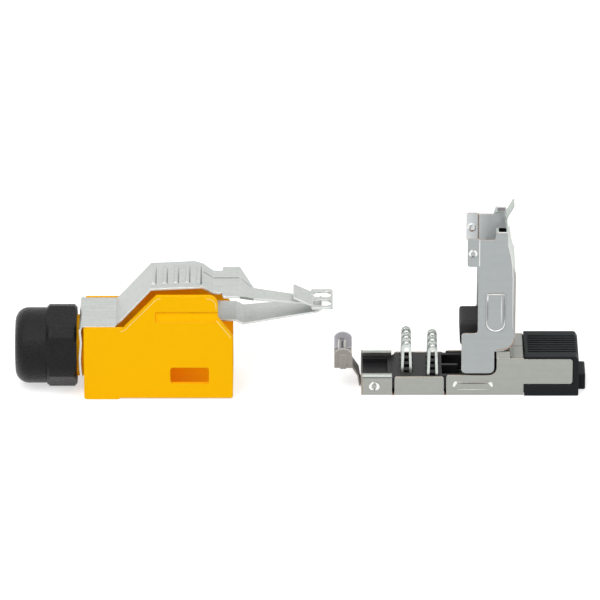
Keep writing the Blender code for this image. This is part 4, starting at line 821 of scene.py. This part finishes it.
def makeStrokes(plan, shape):
    # painted glints and painted shade on the pressed forms, slits and slots, and the copper of the sheared ends
    for name, body, finish, out, wide, pointed, points in plan:
        share = np.clip(np.linspace(0.0, 1.0, len(points)), shape["tip"], 1.0 - shape["tip"])
        widths = wide * (np.sqrt(np.sin(np.pi * share)) if pointed else np.ones(len(points)))
        for side, word in ((-1, "near"), (1, "far")):
            facing = side if out > 0 else -side
            path = [(x, side * abs(out), z) for x, z in points]
            makeRidge(
                f"{name}_{word}", path, (0, facing, 0), widths, ridgeShape["height"], body, finish,
            )


shellExtras = {
    "web": {
        "low": (37.6, 7.7), "high": (40.3, 9.35), "radii": (0.1, 0.1, 0.5, 0.1), "steps": 4,
        "lowInset": (0.3, 0.3), "highInset": (0.3, 0.3),
    },
    "webFace": 5.78, "webProfile": [(0.0, -0.3), (0.0, -0.03), (0.1, 0.0), (0.9, 0.0)],
    "top": [(12.0, 4.3), (14.0, 4.3), (15.8, 4.3), (17.5, 4.3)],
    "topMiddle": 5.55, "topWidth": 0.42, "topHeight": 0.03,
}


def makeShellExtras(plan):
    # the wall under the lid's heel, and a painted highlight along the bend at the top of the rear flange
    outline, inner = beadOutline(plan["web"])
    for side, word in ((-1, "near"), (1, "far")):
        makeDish(
            f"hinge_web_{word}", outline, inner, side, plan["webFace"], plan["webProfile"], "root", "nickel",
        )
        path = [(x, side * plan["topMiddle"], z) for x, z in plan["top"]]
        makeRidge(
            f"flange_top_{word}", path, (0, 0, 1), plan["topWidth"], plan["topHeight"], "root", "paleFoldHighlight",
        )


latchCreases = {
    "line": [(-18.6, 22.83, 30.0), (-17.8, 22.24, 35.0), (-16.95, 21.64, 30.0)],
    "ear": [(-16.7, 21.51, 0.0), (-15.2, 21.51, 0.0), (-13.5, 21.51, 0.0), (-11.8, 21.51, 0.0)],
    "slope": [(-11.4, 21.28, 42.0), (-10.6, 20.56, 42.0), (-9.6, 19.66, 42.0)],
    "across": 1.7, "width": 0.4, "height": 0.03,
}


def makeLatchCreases(plan):
    # a stamped line along the latch, with painted shade along it; each point is (x, z, slope in degrees)
    for word in ("line", "ear", "slope"):
        path = [(x, plan["across"], z) for x, z, slope in plan[word]]
        slopes = [math.radians(slope) for x, z, slope in plan[word]]
        normals = [(math.sin(slope), 0.0, math.cos(slope)) for slope in slopes]
        makeRidge(
            f"latch_crease_{word}", path, normals, plan["width"], plan["height"], "latch", "creaseShade",
        )


makeSmoothNut(nutPlan)
makePressings(pressedPlan)
makeHousingLines(housingLines)
makeGripCreases(gripPlan)
makeFoldDetails(foldPlan)
makeStrokes(strokePlan, strokeShape)
makeShellExtras(shellExtras)
makeLatchCreases(latchCreases)


# floor, lamps and camera

def seenDirectly(tree):
    # 1 for what the camera sees itself, by reflection or through glass, 0 for light that falls on the object
    path = addNode(tree, "ShaderNodeLightPath")
    direct = mathNode(tree, "MAXIMUM", path.outputs["Is Camera Ray"], path.outputs["Is Glossy Ray"])
    return mathNode(tree, "MAXIMUM", direct, path.outputs["Is Transmission Ray"])


floorLook = {
    "size": 4.0, "down": 0.02 * mm, "colour": (0.70, 0.70, 0.70), "rough": 0.9, "gloss": 0.1,
    "white": (1.0, 1.0, 1.0), "lift": 0.6,
}


def makeFloor(look):
    # one flat square under both halves
    half = look["size"] / 2
    corners = [(-half, -half, 0.0), (half, -half, 0.0), (half, half, 0.0), (-half, half, 0.0)]
    mesh = bpy.data.meshes.new("floor")
    mesh.from_pydata(corners, [], [(0, 1, 2, 3)])
    made = bpy.data.objects.new("floor", mesh)
    bpy.context.scene.collection.objects.link(made)
    made.location.z = -look["down"]
    paint, tree, shader = startMaterial("paleFloor")
    shader.inputs["Base Color"].default_value = (*look["colour"], 1.0)
    shader.inputs["Roughness"].default_value = look["rough"]
    shader.inputs["Specular IOR Level"].default_value = look["gloss"]
    shader.inputs["Emission Color"].default_value = (*look["white"], 1.0)
    link(tree, mathNode(tree, "MULTIPLY", seenDirectly(tree), look["lift"]), shader.inputs["Emission Strength"])
    mesh.materials.append(paint)


lampPlan = [
    # name, where the lamp stands, what it aims at, side length, watts
    ("keySoftbox", (-0.35, -0.55, 0.75), (0.0, 0.0, 0.01), 0.55, 4.9),
    ("fillSoftbox", (0.60, -0.50, 0.45), (0.0, 0.0, 0.01), 0.55, 2.4),
    ("topSoftbox", (0.0, 0.15, 0.90), (0.0, 0.0, 0.01), 0.70, 1.5),
]


def makeLamps(plan):
    # square softboxes, each turned to what it aims at
    for name, stand, aim, side, watts in plan:
        lamp = bpy.data.lights.new(name, "AREA")
        lamp.shape = "SQUARE"
        lamp.size = side
        lamp.energy = watts
        holder = bpy.data.objects.new(name, lamp)
        holder.location = stand
        holder.rotation_euler = (Vector(aim) - Vector(stand)).to_track_quat("-Z", "Y").to_euler()
        bpy.context.scene.collection.objects.link(holder)


worldPlan = {"white": (1.0, 1.0, 1.0, 1.0), "lit": 0.35, "seen": 1.0}


def makeWorld(plan):
    # dim white light all round, behind which the camera sees plain white
    world = bpy.data.worlds.new("studio")
    bpy.context.scene.world = world
    world.use_nodes = True
    tree = world.node_tree
    lit = tree.nodes["Background"]
    lit.inputs["Color"].default_value = plan["white"]
    lit.inputs["Strength"].default_value = plan["lit"]
    seen = addNode(tree, "ShaderNodeBackground", {"Color": plan["white"], "Strength": plan["seen"]})
    chooser = addNode(tree, "ShaderNodeMixShader")
    link(tree, seenDirectly(tree), chooser.inputs[0])
    link(tree, lit.outputs[0], chooser.inputs[1])
    link(tree, seen.outputs[0], chooser.inputs[2])
    link(tree, chooser.outputs[0], tree.nodes["World Output"].inputs["Surface"])


cameraPlan = {
    "aim": (-0.1 * mm, 0.0, 17.6 * mm), "elevation": 24.5, "lens": 480.0, "sensor": 36.0, "clipEnd": 20.0,
    "pixelsPerMm": 5.2, "imageWidth": 600,
}


def makeCamera(plan):
    # far off behind a long lens, so that the picture has the photo's scale and hardly any perspective
    focal = plan["lens"] / plan["sensor"] * plan["imageWidth"]
    distance = focal / plan["pixelsPerMm"] * mm
    tilt = math.radians(plan["elevation"])
    aim = Vector(plan["aim"])
    lens = bpy.data.cameras.new("photoCamera")
    lens.lens = plan["lens"]
    lens.sensor_width = plan["sensor"]
    lens.clip_end = plan["clipEnd"]
    holder = bpy.data.objects.new("photoCamera", lens)
    holder.location = aim + distance * Vector((0.0, -math.cos(tilt), math.sin(tilt)))
    holder.rotation_euler = (math.pi / 2 - tilt, 0.0, 0.0)
    bpy.context.scene.collection.objects.link(holder)
    bpy.context.scene.camera = holder


makeFloor(floorLook)
makeLamps(lampPlan)
makeWorld(worldPlan)
makeCamera(cameraPlan)
bpy.context.scene.view_settings.view_transform = "Standard"
print("stage, lamps and camera ready")
